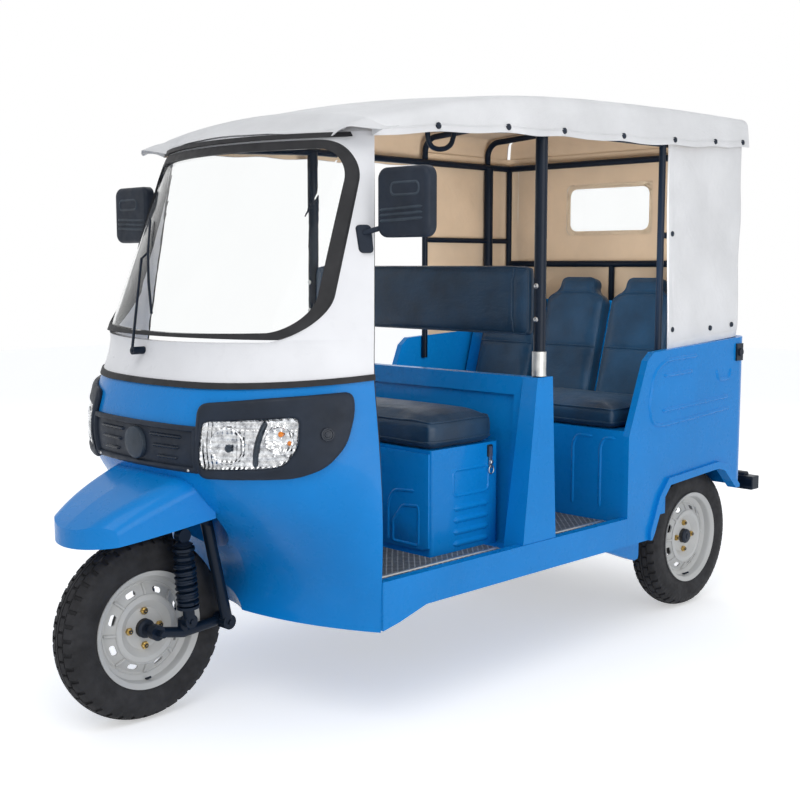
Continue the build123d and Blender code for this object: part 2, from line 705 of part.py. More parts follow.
with BuildPart() as rear_seat_base:
    block(REAR_BASE_BACK_X, REAR_BASE_X, -BASE_HALF, BASE_HALF, FLOOR_Z + SEAT_GAP, REAR_BASE_Z)
    block(
        REAR_BASE_BACK_X + BOX_WALL, REAR_BASE_X - BOX_WALL,
        -BASE_HALF + BOX_WALL, BASE_HALF - BOX_WALL,
        FLOOR_Z - 1, REAR_BASE_Z - BOX_WALL, mode=Mode.SUBTRACT,
    )
    for name, side in SIDES:
        block(
            REAR_BASE_BACK_X, WELL_X + BOX_WALL, side * (WELL_HALF - BOX_WALL), side * BASE_HALF,
            FLOOR_Z + SEAT_GAP, WELL_Z + BOX_WALL,
        )
        block(
            REAR_BASE_BACK_X - 1, WELL_X, side * WELL_HALF, side * (BASE_HALF + 1),
            FLOOR_Z - 1, WELL_Z, mode=Mode.SUBTRACT,
        )
    with BuildSketch(recline_plane(BACKREST_THICK + SEAT_GAP)) as back_board:
        with Locations((0, BACKREST_SHOULDER / 2 - 20)):
            Rectangle(2 * BASE_HALF - 40, BACKREST_SHOULDER)
    extrude(back_board.sketch, amount=-14)
    split(bisect_by=Plane.XY.offset(FLOOR_Z + SEAT_GAP), keep=Keep.TOP)
rear_seat_base.part.label = "rear_seat_base"
export_step(rear_seat_base.part, "parts/rear_seat_base.step")

with BuildPart() as rear_cushion:
    block(
        BACKREST_X + 3, REAR_BASE_X + 12, -REAR_CUSHION_HALF, REAR_CUSHION_HALF,
        REAR_BASE_Z + SEAT_GAP, REAR_CUSHION_Z,
    )
    fillet(rear_cushion.edges().filter_by(Axis.Z), 30)
    fillet(rear_cushion.faces().sort_by(Axis.Z)[-1].edges(), 24)
rear_cushion.part.label = "rear_cushion"
export_step(rear_cushion.part, "parts/rear_cushion.step")

with BuildPart() as rear_backrests:
    for panel in (-1, 0, 1):
        with BuildSketch(recline_plane(BACKREST_THICK)) as back_outline:
            with BuildLine():
                y = panel * BACKREST_PITCH
                Polyline(
                    (y - BACKREST_HALF, 0), (y + BACKREST_HALF, 0),
                    (y + BACKREST_HALF, BACKREST_SHOULDER), (y + HEADREST_HALF, BACKREST_SHOULDER),
                    (y + HEADREST_HALF - 8, BACKREST_TOP), (y - HEADREST_HALF + 8, BACKREST_TOP),
                    (y - HEADREST_HALF, BACKREST_SHOULDER), (y - BACKREST_HALF, BACKREST_SHOULDER),
                    close=True,
                )
            make_face()
            fillet(back_outline.vertices().group_by(Axis.Y)[1:], 22)
        extrude(back_outline.sketch, amount=BACKREST_THICK)
rear_backrests.part.label = "rear_backrests"
export_step(rear_backrests.part, "parts/rear_backrests.step")


# ---------------------------------------------------------------- rear body
ARCH = ((-572, 362), (-622, 470), (-667, 518), (-991, 537), (-1035, 524), (-1120, 448))
PANEL_OUTLINE = (
    (SILL_REAR_X - SEAT_GAP, SILL_Z0_REAR), (SILL_REAR_X - SEAT_GAP, 712),
    (PANEL_FRONT_TOP_X + 13, 962), (PANEL_FRONT_TOP_X - 25, PANEL_TOP_Z),
    (BODY_REAR_X - 40, PANEL_TOP_REAR_Z), (BODY_REAR_X - 40, PANEL_REAR_Z0),
    *ARCH[::-1], (-556, SILL_Z0_REAR),
)


def tub_wall(y0, y1):
    """Part of the rear body's wall whose y lies between y0 and y1."""
    with BuildPart() as wall:
        with BuildSketch(Plane.XY.offset(SILL_Z0_REAR - 20)) as plan:
            with BuildLine():
                Polyline(
                    (BODY_REAR_X, -TUB_HALF), (-300, -TUB_HALF), (-300, TUB_HALF),
                    (BODY_REAR_X, TUB_HALF), close=True,
                )
            make_face()
            fillet(plan.vertices().group_by(Axis.X)[0], BODY_CORNER_R)
            offset(amount=-WALL, mode=Mode.SUBTRACT)
        extrude(plan.sketch, amount=FAR)
        block(-2 * FAR, FAR, y0, y1, 0, 2 * FAR, mode=Mode.INTERSECT)
        add(side_view_prism(PANEL_OUTLINE, -FAR, FAR), mode=Mode.INTERSECT)
    return wall.part


def rear_panel(side):
    """Side panel of the rear body with its flared wheel arch lip."""
    with BuildPart() as panel:
        add(tub_wall(side * (END_PANEL_HALF + SEAT_GAP), side * FAR))
        with BuildSketch(Plane.XZ.offset(-side * (TUB_HALF - WALL / 2))) as lip:
            with BuildLine():
                Polyline(*ARCH, (-1120, 300), (-572, 300), close=True)
            make_face()
            offset(amount=LIP_WIDTH, kind=Kind.INTERSECTION)
            with BuildLine():
                Polyline(*ARCH, (-1120, 200), (-572, 200), close=True)
            make_face(mode=Mode.SUBTRACT)
        extrude(lip.sketch, amount=-side * (WALL / 2 + LIP_PROUD))
        add(side_view_prism(PANEL_OUTLINE, -FAR, FAR), mode=Mode.INTERSECT)
    return panel.part


with BuildPart() as rear_panel_left:
    add(rear_panel(1))
rear_panel_left.part.label = "rear_panel_left"
export_step(rear_panel_left.part, "parts/rear_panel_left.step")

with BuildPart() as rear_panel_right:
    add(rear_panel(-1))
rear_panel_right.part.label = "rear_panel_right"
export_step(rear_panel_right.part, "parts/rear_panel_right.step")

with BuildPart() as rear_end_panel:
    add(tub_wall(-END_PANEL_HALF, END_PANEL_HALF))
rear_end_panel.part.label = "rear_end_panel"
export_step(rear_end_panel.part, "parts/rear_end_panel.step")

with BuildPart() as tail_lamps:
    for name, side in SIDES:
        block(
            BODY_REAR_X - 30, BODY_REAR_X - SEAT_GAP, side * 400, side * 470, 600, 740,
        )
    fillet(tail_lamps.faces().filter_by(Axis.X).group_by(Axis.X)[0].edges(), 10)
tail_lamps.part.label = "tail_lamps"
export_step(tail_lamps.part, "parts/tail_lamps.step")

LATCH_X = -1128.0
LATCH_HALF = 22.0
LATCH_Z = 962.0
with BuildPart() as side_latches:
    for name, side in SIDES:
        block(
            LATCH_X - LATCH_HALF, LATCH_X + LATCH_HALF, side * (TUB_HALF + SEAT_GAP),
            side * (TUB_HALF + 7), LATCH_Z - 32, LATCH_Z + 32,
        )
        with BuildSketch(Plane.XZ.offset(-side * (TUB_HALF + 7))) as boss:
            with Locations((LATCH_X, LATCH_Z)):
                Circle(14)
        extrude(boss.sketch, amount=-side * 7)
side_latches.part.label = "side_latches"
export_step(side_latches.part, "parts/side_latches.step")


# ---------------------------------------------------------------- canopy frame
CURTAIN_INNER_Y = CURTAIN_Y - CLOTH
DOOR_POST_Y = CURTAIN_INNER_Y - SEAT_GAP - BAR_TUBE_R
THICK_POST_Y = CURTAIN_INNER_Y - SEAT_GAP - POST_R
RAIL_REAR_Y = CURTAIN_INNER_Y - 3.0 - RAIL_R
with BuildPart() as side_frames:
    for name, side in SIDES:
        rail = (
            (RAIL_FRONT_X, side * RAIL_FRONT_Y, RAIL_FRONT_Z),
            (POST_X, side * POST_Y, RAIL_Z),
            (DOOR_POST_X, side * RAIL_REAR_Y, RAIL_Z),
            (THICK_POST_X, side * RAIL_REAR_Y, RAIL_Z),
            (REAR_POST_X, side * REAR_POST_Y, RAIL_Z),
        )
        for a, b in zip(rail, rail[1:]):
            rod(a, b, RAIL_R)
        for place in rail[1:]:
            with Locations(place):
                Sphere(RAIL_R)
        posts = (
            (POST_X, POST_Y, WALL_TOP_Z + SEAT_GAP, POST_R),
            (DOOR_POST_X, DOOR_POST_Y, POST_FOOT_Z, BAR_TUBE_R),
            (THICK_POST_X, THICK_POST_Y, POST_FOOT_Z, POST_R),
            (REAR_POST_X, REAR_POST_Y, POST_FOOT_Z, BAR_TUBE_R),
        )
        for x, y, foot_z, radius in posts:
            rod((x, side * y, foot_z), (x, side * y, RAIL_Z), radius)
        bars = [(x, side * y, WAIST_BAR_Z) for x, y, foot_z, radius in posts[1:]]
        for a, b in zip(bars, bars[1:]):
            rod(a, b, CROSS_BAR_R)
side_frames.part.label = "side_frames"
export_step(side_frames.part, "parts/side_frames.step")

# Roof hoops.  Columns: x, half width of the foot, height of the shoulder, height of the crown
HOOPS = (
    (POST_X, 535.0, 1775.0, 1816.8),
    (DOOR_POST_X, 561.0, 1795.0, 1831.7),
    (THICK_POST_X, 561.0, 1800.0, 1835.2),
)
with BuildPart() as roof_frame:
    for x, half, shoulder, crown in HOOPS:
        foot_z = RAIL_Z + RAIL_R + SEAT_GAP
        with BuildLine(Plane.YZ.offset(x)) as hoop:
            FilletPolyline(
                (-half, foot_z), (-half, shoulder), (0, crown), (half, shoulder), (half, foot_z),
                radius=HOOP_BEND_R,
            )
        with BuildSketch(Plane(origin=(x, -half, foot_z))) as tube:
            Circle(BAR_TUBE_R)
        sweep(tube.sketch, path=hoop.line)
    for z, end_r in ((REAR_BAR_Z, BAR_TUBE_R), (RAIL_Z, RAIL_R)):
        bar_half = REAR_POST_Y - end_r - SEAT_GAP
        rod((REAR_POST_X, -bar_half, z), (REAR_POST_X, bar_half, z), RAIL_R)
    rod((REAR_POST_X, 0, POST_FOOT_Z), (REAR_POST_X, 0, REAR_BAR_Z), BAR_TUBE_R)
roof_frame.part.label = "roof_frame"
export_step(roof_frame.part, "parts/roof_frame.step")


# ---------------------------------------------------------------- canopy cloth
# Cross sections of the canopy.  Columns: x, half width, heights of hem, shoulder and crown
CANOPY = (
    (710.0, 487.0, 1640.0, 1676.0, 1716.0),
    (350.0, 560.0, 1668.0, 1755.0, 1800.0),
    (-10.0, 592.0, 1680.0, 1795.0, 1835.0),
    (-650.0, 600.0, 1697.0, 1818.0, 1850.0),
    (-1195.0, 590.0, 1725.0, 1824.0, 1855.0),
)


def canopy_section(row, inset, drop, x):
    """One cross section of the canopy, moved in by inset, its hem lowered by drop."""
    place, half, hem, shoulder, crown = row
    with BuildSketch(Plane.YZ.offset(x)) as section:
        with BuildLine():
            top = shoulder - inset
            low = half - inset + CANOPY_LEAN * drop
            high = half - inset - CANOPY_LEAN * (top - hem)
            ThreePointArc((-high, top), (0, crown - inset), (high, top))
            Polyline((high, top), (low, hem - drop), (-low, hem - drop), (-high, top))
        make_face()
        fillet(section.vertices().group_by(Axis.Y)[1], CANOPY_SHOULDER_R - inset)
    return section.sketch


with BuildPart() as canopy_roof:
    loft([canopy_section(row, 0, 0, row[0]) for row in CANOPY])
    places = [row[0] for row in CANOPY[:-1]] + [CANOPY[-1][0] + CLOTH]
    loft(
        [canopy_section(row, CLOTH, 60, x) for row, x in zip(CANOPY, places)], mode=Mode.SUBTRACT
    )
    split(bisect_by=Plane.YZ.offset(CANOPY_FRONT_X), keep=Keep.BOTTOM)
canopy_roof.part.label = "canopy_roof"
export_step(canopy_roof.part, "parts/canopy_roof.step")

CURTAIN_OUTLINE = (
    (CURTAIN_FRONT_X, CURTAIN_Z1), (CURTAIN_FRONT_X, 1560), (CURTAIN_FRONT_X - 22, PANEL_TOP_Z + 8),
    (BODY_REAR_X - 40, PANEL_TOP_REAR_Z + 6), (BODY_REAR_X - 40, CURTAIN_Z1),
)


def curtain_wall(y0, y1):
    """Part of the curtain wall whose y lies between y0 and y1."""
    with BuildPart() as wall:
        with BuildSketch(Plane.XY.offset(PANEL_TOP_Z - 20)) as plan:
            with BuildLine():
                Polyline(
                    (CURTAIN_REAR_X, -CURTAIN_Y), (-300, -CURTAIN_Y), (-300, CURTAIN_Y),
                    (CURTAIN_REAR_X, CURTAIN_Y), close=True,
                )
            make_face()
            fillet(plan.vertices().group_by(Axis.X)[0], CURTAIN_CORNER_R)
            offset(amount=-CLOTH, mode=Mode.SUBTRACT)
        extrude(plan.sketch, amount=FAR)
        block(-2 * FAR, FAR, y0, y1, 0, 2 * FAR, mode=Mode.INTERSECT)
        add(side_view_prism(CURTAIN_OUTLINE, -FAR, FAR), mode=Mode.INTERSECT)
    return wall.part


CURTAIN_SPLIT_Y = CURTAIN_Y - CURTAIN_CORNER_R
with BuildPart() as side_curtains:
    for name, side in SIDES:
        add(curtain_wall(side * (CURTAIN_SPLIT_Y + SEAT_GAP), side * FAR))
side_curtains.part.label = "side_curtains"
export_step(side_curtains.part, "parts/side_curtains.step")

with BuildPart() as rear_curtain:
    add(curtain_wall(-CURTAIN_SPLIT_Y, CURTAIN_SPLIT_Y))
    block(
        CURTAIN_REAR_X - 20, CURTAIN_REAR_X + 20, WINDOW_Y - WINDOW_HALF, WINDOW_Y + WINDOW_HALF,
        WINDOW_Z0, WINDOW_Z1, mode=Mode.SUBTRACT,
    )
rear_curtain.part.label = "rear_curtain"
export_step(rear_curtain.part, "parts/rear_curtain.step")

with BuildPart() as rear_window:
    block(
        CURTAIN_REAR_X + 1.5, CURTAIN_REAR_X + CLOTH - 1.5, WINDOW_Y - WINDOW_HALF + SEAT_GAP,
        WINDOW_Y + WINDOW_HALF - SEAT_GAP, WINDOW_Z0 + SEAT_GAP, WINDOW_Z1 - SEAT_GAP,
    )
rear_window.part.label = "rear_window"
export_step(rear_window.part, "parts/rear_window.step")


# ---------------------------------------------------------------- mirrors and wiper
MIRROR_X = 692.0
MIRROR_Y = 640.0
MIRROR_Z = 1452.0
MIRROR_HALF_Y = 95.0
MIRROR_HALF_Z = 92.0
MIRROR_DEPTH = 34.0
MIRROR_RIM = 9.0
BRACKET_X = (699.0, 734.0)
BRACKET_Z = (1319.0, 1395.0)
ARM_R = 7.0

with BuildPart() as mirror_plates:            # bracket plates on the screen's pillars
    add(nose_layer(NOSE_HIGH, -8, -SEAT_GAP, ruled=True))
    with BuildSketch(Plane.XZ) as plate_view:
        with BuildLine():
            Polyline(
                (BRACKET_X[0], BRACKET_Z[0]), (BRACKET_X[1], BRACKET_Z[0]),
                (BRACKET_X[1], BRACKET_Z[1]), (BRACKET_X[0], BRACKET_Z[1]), close=True,
            )
        make_face()
        fillet(plate_view.vertices(), 12)
    extrude(plate_view.sketch, amount=FAR, both=True, mode=Mode.INTERSECT)

with BuildPart() as mirrors:
    with BuildSketch(Plane.YZ.offset(MIRROR_X - MIRROR_DEPTH / 2)) as housing:
        for name, side in SIDES:
            with Locations((side * MIRROR_Y, MIRROR_Z)):
                RectangleRounded(2 * MIRROR_HALF_Y, 2 * MIRROR_HALF_Z, 30)
    extrude(housing.sketch, amount=MIRROR_DEPTH)
    fillet(mirrors.faces().filter_by(Axis.X).group_by(Axis.X)[-1].edges(), 14)
    add(mirror_plates.part)
    for name, side in SIDES:
        rod(
            (718, side * 508, 1373),
            (MIRROR_X, side * (MIRROR_Y - MIRROR_HALF_Y + 24), MIRROR_Z - 62), ARM_R,
        )
    with BuildSketch(Plane.YZ.offset(MIRROR_X - MIRROR_DEPTH / 2)) as glass_seat:
        for name, side in SIDES:
            with Locations((side * MIRROR_Y, MIRROR_Z)):
                RectangleRounded(
                    2 * (MIRROR_HALF_Y - MIRROR_RIM), 2 * (MIRROR_HALF_Z - MIRROR_RIM), 22
                )
    extrude(glass_seat.sketch, amount=5, mode=Mode.SUBTRACT)
mirrors.part.label = "mirrors"
export_step(mirrors.part, "parts/mirrors.step")

with BuildPart() as mirror_glasses:
    with BuildSketch(Plane.YZ.offset(MIRROR_X - MIRROR_DEPTH / 2 + 1)) as mirror_faces:
        for name, side in SIDES:
            with Locations((side * MIRROR_Y, MIRROR_Z)):
                RectangleRounded(
                    2 * (MIRROR_HALF_Y - MIRROR_RIM - SEAT_GAP),
                    2 * (MIRROR_HALF_Z - MIRROR_RIM - SEAT_GAP), 22 - SEAT_GAP,
                )
    extrude(mirror_faces.sketch, amount=4 - SEAT_GAP)
mirror_glasses.part.label = "mirror_glasses"
export_step(mirror_glasses.part, "parts/mirror_glasses.step")


def screen_x(y, z):
    """x of the screen's outer surface at a place in front view."""
    (z0, x0, _, r0, _, _), (z1, x1, _, r1, _, _) = NOSE_HIGH
    share = (z - z0) / (z1 - z0)
    radius = r0 + (r1 - r0) * share
    return x0 + (x1 - x0) * share - radius + math.sqrt(radius**2 - y**2)


# Wiper in front view, columns y and z
WIPER_PIVOT = (-58.0, 1046.0)
WIPER_ELBOW = (-206.0, 1305.0)
WIPER_BLADE = ((-297.0, 1423.0), (-206.0, 1324.0), (-126.0, 1238.0), (-46.0, 1151.0))
BLADE_R = 4.0
BLADE_LIFT = 5.36             # from glass to blade axis along x, so that the chords just clear
SPINDLE_R = 11.0
ARM_LIFT = 18.0               # height of the wiper arm over the screen
with BuildPart() as wiper:
    head = (screen_x(*WIPER_PIVOT) + ARM_LIFT, *WIPER_PIVOT)
    elbow = (screen_x(*WIPER_ELBOW) + ARM_LIFT, *WIPER_ELBOW)
    blade = [(screen_x(y, z) + BLADE_LIFT - GLASS_INSET, y, z) for y, z in WIPER_BLADE]
    rod((head[0] - 80, *WIPER_PIVOT), head, SPINDLE_R)
    nose_body(NOSE_LOW, -SEAT_GAP, DOOR_BACK_X, mode=Mode.SUBTRACT)
    rod(head, elbow, BLADE_R)
    rod(elbow, blade[1], BLADE_R - 1)
    for a, b in zip(blade, blade[1:]):
        rod(a, b, BLADE_R)
    for place in (head, elbow, *blade[1:-1]):
        with Locations(place):
            Sphere(BLADE_R)
wiper.part.label = "wiper"
export_step(wiper.part, "parts/wiper.step")


# ---------------------------------------------------------------- front fork and steering
LINK_Y = FORK_Y - 32
EYE_R = 22.0                  # eyes at the ends of legs, links and shocks
EYE_HALF = 13.0
PIN_R = 8.0
LEG_TOP = (968.0, 572.0)
CROWN_THICK = 22.0
CROWN_BACK = 58.0             # reach of the crown behind and ahead of the axis
CROWN_FRONT = 62.0
CROWN_SIDE = 30.0             # reach of the crown beyond the legs
SHOCK_FOOT_Z = 285.0
SHOCK_TOP_Z = 534.0
SHOCK_TOP_X = SHOCK_FOOT_X + SHOCK_LEAN

with BuildPart() as fork:
    with BuildSketch(steer_plane(CROWN_Z)) as crown_plan:
        with BuildLine():
            half = FORK_Y + CROWN_SIDE
            Polyline(
                (-CROWN_BACK, -half), (CROWN_FRONT, -half), (CROWN_FRONT, half),
                (-CROWN_BACK, half), close=True,
            )
        make_face()
        fillet(crown_plan.vertices(), 24)
    extrude(crown_plan.sketch, amount=-CROWN_THICK)
    with BuildSketch(steer_plane(CROWN_Z)) as stem_base:
        Circle(STEM_R + 6)
    extrude(stem_base.sketch, amount=26, taper=10)
    rod((axis_x(CROWN_Z), 0, CROWN_Z), (axis_x(BAR_Z), 0, BAR_Z), STEM_R)
    for name, side in SIDES:
        y = side * FORK_Y
        rod((LEG_TOP[0], y, LEG_TOP[1]), (LINK_PIVOT_X, y, LINK_PIVOT_Z), FORK_LEG_R)
        rod(
            (LINK_PIVOT_X, y - side * EYE_HALF, LINK_PIVOT_Z),
            (LINK_PIVOT_X, y + side * EYE_HALF, LINK_PIVOT_Z), EYE_R,
        )
        rod(
            (SHOCK_TOP_X + 4, y, CROWN_Z + 6), (SHOCK_TOP_X, y, SHOCK_TOP_Z + EYE_R + SEAT_GAP),
            FORK_LEG_R,
        )
        rod(
            (LINK_PIVOT_X, y - side * 40, LINK_PIVOT_Z), (LINK_PIVOT_X, y + side * 40, LINK_PIVOT_Z),
            PIN_R + RUN_GAP, mode=Mode.SUBTRACT,
        )
fork.part.label = "fork"
export_step(fork.part, "parts/fork.step")

with BuildPart() as leading_links:            # links that carry the axle, with pins and axle
    for name, side in SIDES:
        y = side * LINK_Y
        out_y = side * (FORK_Y + EYE_HALF + 8)
        knee = (SHOCK_FOOT_X, y, SHOCK_FOOT_Z - 40)
        rod((LINK_PIVOT_X, y, LINK_PIVOT_Z), knee, LINK_R)
        rod(knee, (FRONT_AXLE_X, y, TYRE_R), LINK_R)
        with Locations(knee):
            Sphere(LINK_R)
        for x, z in ((LINK_PIVOT_X, LINK_PIVOT_Z), (FRONT_AXLE_X, TYRE_R)):
            rod((x, y - EYE_HALF, z), (x, y + EYE_HALF, z), EYE_R)
        rod(knee, (SHOCK_FOOT_X, y, SHOCK_FOOT_Z), LINK_R)
        rod((SHOCK_FOOT_X, y, SHOCK_FOOT_Z), (SHOCK_FOOT_X, out_y, SHOCK_FOOT_Z), PIN_R)
        rod((LINK_PIVOT_X, y, LINK_PIVOT_Z), (LINK_PIVOT_X, out_y, LINK_PIVOT_Z), PIN_R)
        rod((FRONT_AXLE_X, y, TYRE_R), (FRONT_AXLE_X, side * (LINK_Y + 40), TYRE_R), AXLE_PIN_R)
    rod((FRONT_AXLE_X, -LINK_Y, TYRE_R), (FRONT_AXLE_X, LINK_Y, TYRE_R), AXLE_PIN_R)
leading_links.part.label = "leading_links"
export_step(leading_links.part, "parts/leading_links.step")

SHOCK_ROD_R = 10.0
SPRING_Z0 = 46.0              # distances along the shock, up from its foot
SPRING_PITCH = 22.0
SHOCK_LENGTH = math.hypot(SHOCK_LEAN, SHOCK_TOP_Z - SHOCK_FOOT_Z)
with BuildPart() as front_shocks:
    for name, side in SIDES:
        y = side * FORK_Y
        foot = (SHOCK_FOOT_X, y, SHOCK_FOOT_Z)
        top = (SHOCK_TOP_X, y, SHOCK_TOP_Z)
        shock_plane = Plane(
            origin=foot, x_dir=(0, 1, 0), z_dir=(SHOCK_TOP_Z - SHOCK_FOOT_Z, 0, -SHOCK_LEAN)
        )
        with BuildSketch(shock_plane) as shock_outline:
            with BuildLine():
                coils = []
                for turn in range(SPRING_TURNS):
                    z = SPRING_Z0 + turn * SPRING_PITCH
                    coils += [(SPRING_R, z + 5), (SPRING_R, z + 13), (SPRING_R - 8, z + 19)]
                Polyline(
                    (0, 0), (SHOCK_R, 0), (SHOCK_R, SPRING_Z0 - 8), (SPRING_R + 2, SPRING_Z0 - 8),
                    (SPRING_R + 2, SPRING_Z0), (SPRING_R - 8, SPRING_Z0 + 1), *coils,
                    (SPRING_R - 8, SHOCK_LENGTH - 42), (SPRING_R + 2, SHOCK_LENGTH - 42),
                    (SPRING_R + 2, SHOCK_LENGTH - 34), (SHOCK_ROD_R, SHOCK_LENGTH - 30),
                    (SHOCK_ROD_R, SHOCK_LENGTH), (0, SHOCK_LENGTH), close=True,
                )
            make_face()
        revolve(
            shock_outline.sketch,
            axis=Axis(foot, (SHOCK_LEAN, 0, SHOCK_TOP_Z - SHOCK_FOOT_Z)),
        )
        for place in (foot, top):
            rod(
                (place[0], y - EYE_HALF, place[2]), (place[0], y + EYE_HALF, place[2]),
                EYE_R - 2,
            )
        rod(
            (foot[0], y - 40, foot[2]), (foot[0], y + 40, foot[2]), PIN_R + RUN_GAP,
            mode=Mode.SUBTRACT,
        )
front_shocks.part.label = "front_shocks"
export_step(front_shocks.part, "parts/front_shocks.step")

BAR_X = axis_x(BAR_Z)
with BuildPart() as handlebar:
    rod((BAR_X, -BAR_CENTRE, BAR_Z + STEM_R), (BAR_X, BAR_CENTRE, BAR_Z + STEM_R), BAR_R)
    for name, side in SIDES:
        bend = (BAR_X, side * BAR_CENTRE, BAR_Z + STEM_R)
        with Locations(bend):
            Sphere(BAR_R)
        rod(bend, (BAR_X - BAR_SWEEP, side * BAR_HALF, BAR_Z + STEM_R), BAR_R)
    block(BAR_X - 45, BAR_X + 30, -52, 52, BAR_Z + 2, BAR_Z + STEM_R + BAR_R + 14)
    rod(
        (axis_x(BAR_Z - 20), 0, BAR_Z - 20), (BAR_X, 0, BAR_Z), STEM_R + SEAT_GAP,
        mode=Mode.SUBTRACT,
    )
    split(bisect_by=steer_plane(BAR_Z + SEAT_GAP), keep=Keep.TOP)
handlebar.part.label = "handlebar"
export_step(handlebar.part, "parts/handlebar.step")

with BuildPart() as bar_grips:
    for name, side in SIDES:
        end = Vector(BAR_X - BAR_SWEEP, side * BAR_HALF, BAR_Z + STEM_R)
        run = (Vector(BAR_X, side * BAR_CENTRE, BAR_Z + STEM_R) - end).normalized()
        a, b = end - run * 5, end + run * GRIP_LENGTH
        rod(a, b, GRIP_R)
        rod(end - run * SEAT_GAP, b + run, BAR_R + SEAT_GAP, mode=Mode.SUBTRACT)
bar_grips.part.label = "bar_grips"
export_step(bar_grips.part, "parts/bar_grips.step")


# ---------------------------------------------------------------- wheels
STUD_R = 6.0
SLOT_RADIUS = 112.0
# Half outline of the tyre, columns: distance from the middle plane, radius
TYRE_SIDE = ((44.0, 158.95), (47.8, 169.3))
TYRE_BULGE = (55.0, 212.0)
TYRE_SHOULDER = (44.0, 251.0)
DISC_OUTLINE = ((18, 27.4), (18, 60), (33, 82), (33, 96), (13, 128), (13, 137))
DISC_INSIDE = ((9, 137), (9, 126), (29, 94), (29, 84), (14, 62), (14, 27.4))
RIM_OUTLINE = ((48, 169), (44, 158), (38, 155.5), (22, 153), (14, 139))


def wheel_plane(place):
    """Plane whose first axis points to +Y, through the wheel's centre."""
    return Plane(origin=place, x_dir=(0, 1, 0), z_dir=(1, 0, 0))


def wheel_face(place, side, out):
    """Plane of the wheel's outer face, moved out from its middle plane."""
    x, y, z = place
    return Plane(origin=(x, y + side * out, z), x_dir=(1, 0, 0), z_dir=(0, side, 0))


def wheel_tyre(place):
    """Tyre carcass about the wheel's centre, open towards the rim."""
    with BuildPart() as tyre:
        with BuildSketch(wheel_plane(place)) as outline:
            with BuildLine():
                (y0, r0), (y1, r1) = TYRE_SIDE
                bulge_y, bulge_r = TYRE_BULGE
                edge_y, edge_r = TYRE_SHOULDER
                Line((y0, r0), (y1, r1))
                ThreePointArc((y1, r1), (bulge_y, bulge_r), (edge_y, edge_r))
                ThreePointArc((edge_y, edge_r), (0, TYRE_R), (-edge_y, edge_r))
                ThreePointArc((-edge_y, edge_r), (-bulge_y, bulge_r), (-y1, r1))
                Polyline((-y1, r1), (-y0, r0), (-y0 + 10, r0))
                ThreePointArc((-y0 + 10, r0), (0, edge_r - 6), (y0 - 10, r0))
                Line((y0 - 10, r0), (y0, r0))
            make_face()
        revolve(outline.sketch, axis=Axis(place, (0, 1, 0)))
    return tyre.part


def wheel_rim(place, side):
    """Pressed disc and well rim, the disc's face to the side of the vehicle given."""
    with BuildPart() as rim:
        with BuildSketch(wheel_plane(place)) as outline:
            with BuildLine():
                outer = RIM_OUTLINE + tuple((-y, r) for y, r in RIM_OUTLINE[::-1])
                inner = tuple((y, r - RIM_SHEET) for y, r in outer[1:-1])
                Polyline(
                    *outer, (-RIM_OUTLINE[0][0] - RIM_SHEET, RIM_OUTLINE[0][1]), *inner[::-1],
                    (RIM_OUTLINE[0][0] + RIM_SHEET, RIM_OUTLINE[0][1]), close=True,
                )
            make_face()
            with BuildLine():
                Polyline(
                    *[(side * y, r) for y, r in DISC_OUTLINE + DISC_INSIDE], close=True
                )
            make_face()
        revolve(outline.sketch, axis=Axis(place, (0, 1, 0)))
        with BuildSketch(wheel_face(place, side, -20)) as holes:
            with PolarLocations(NUT_PCD / 2, NUT_COUNT):
                Circle(STUD_R + RUN_GAP)
            with PolarLocations(SLOT_RADIUS, DISC_SLOTS, start_angle=180 / DISC_SLOTS):
                SlotOverall(32, 15, rotation=90)
        extrude(holes.sketch, amount=70, mode=Mode.SUBTRACT)
    return rim.part


def wheel_hub(place, side, bore, shaft):
    """Hub with brake drum and wheel nuts; bore is the radius of its hole, shaft the
    length of the half shaft at its inboard end."""
    with BuildPart() as hub:
        with BuildSketch(wheel_plane(place)) as outline:
            with BuildLine():
                Polyline(
                    *[
                        (side * y, r) for y, r in (
                            (-HUB_REACH, bore), (-HUB_REACH, HUB_R), (-DRUM_REACH, HUB_R),
                            (-DRUM_REACH, DRUM_R),
                            (DISC_OFFSET - SEAT_GAP, DRUM_R - 4), (DISC_OFFSET - SEAT_GAP, HUB_R),
                            (32, HUB_R - 2), (32, bore),
                        )
                    ],
                    close=True,
                )
            make_face()
        revolve(outline.sketch, axis=Axis(place, (0, 1, 0)))
        with BuildSketch(wheel_face(place, side, 0)) as studs:
            with PolarLocations(NUT_PCD / 2, NUT_COUNT):
                Circle(STUD_R)
        extrude(studs.sketch, amount=32)
        with BuildSketch(wheel_face(place, side, DISC_OFFSET + RIM_SHEET + SEAT_GAP)) as nuts:
            with PolarLocations(NUT_PCD / 2, NUT_COUNT):
                RegularPolygon(NUT_R, 6)
        extrude(nuts.sketch, amount=9)
        if shaft:
            with BuildSketch(wheel_face(place, side, -HUB_REACH)) as shaft_section:
                Circle(HALFSHAFT_R)
            extrude(shaft_section.sketch, amount=-shaft)
    return hub.part


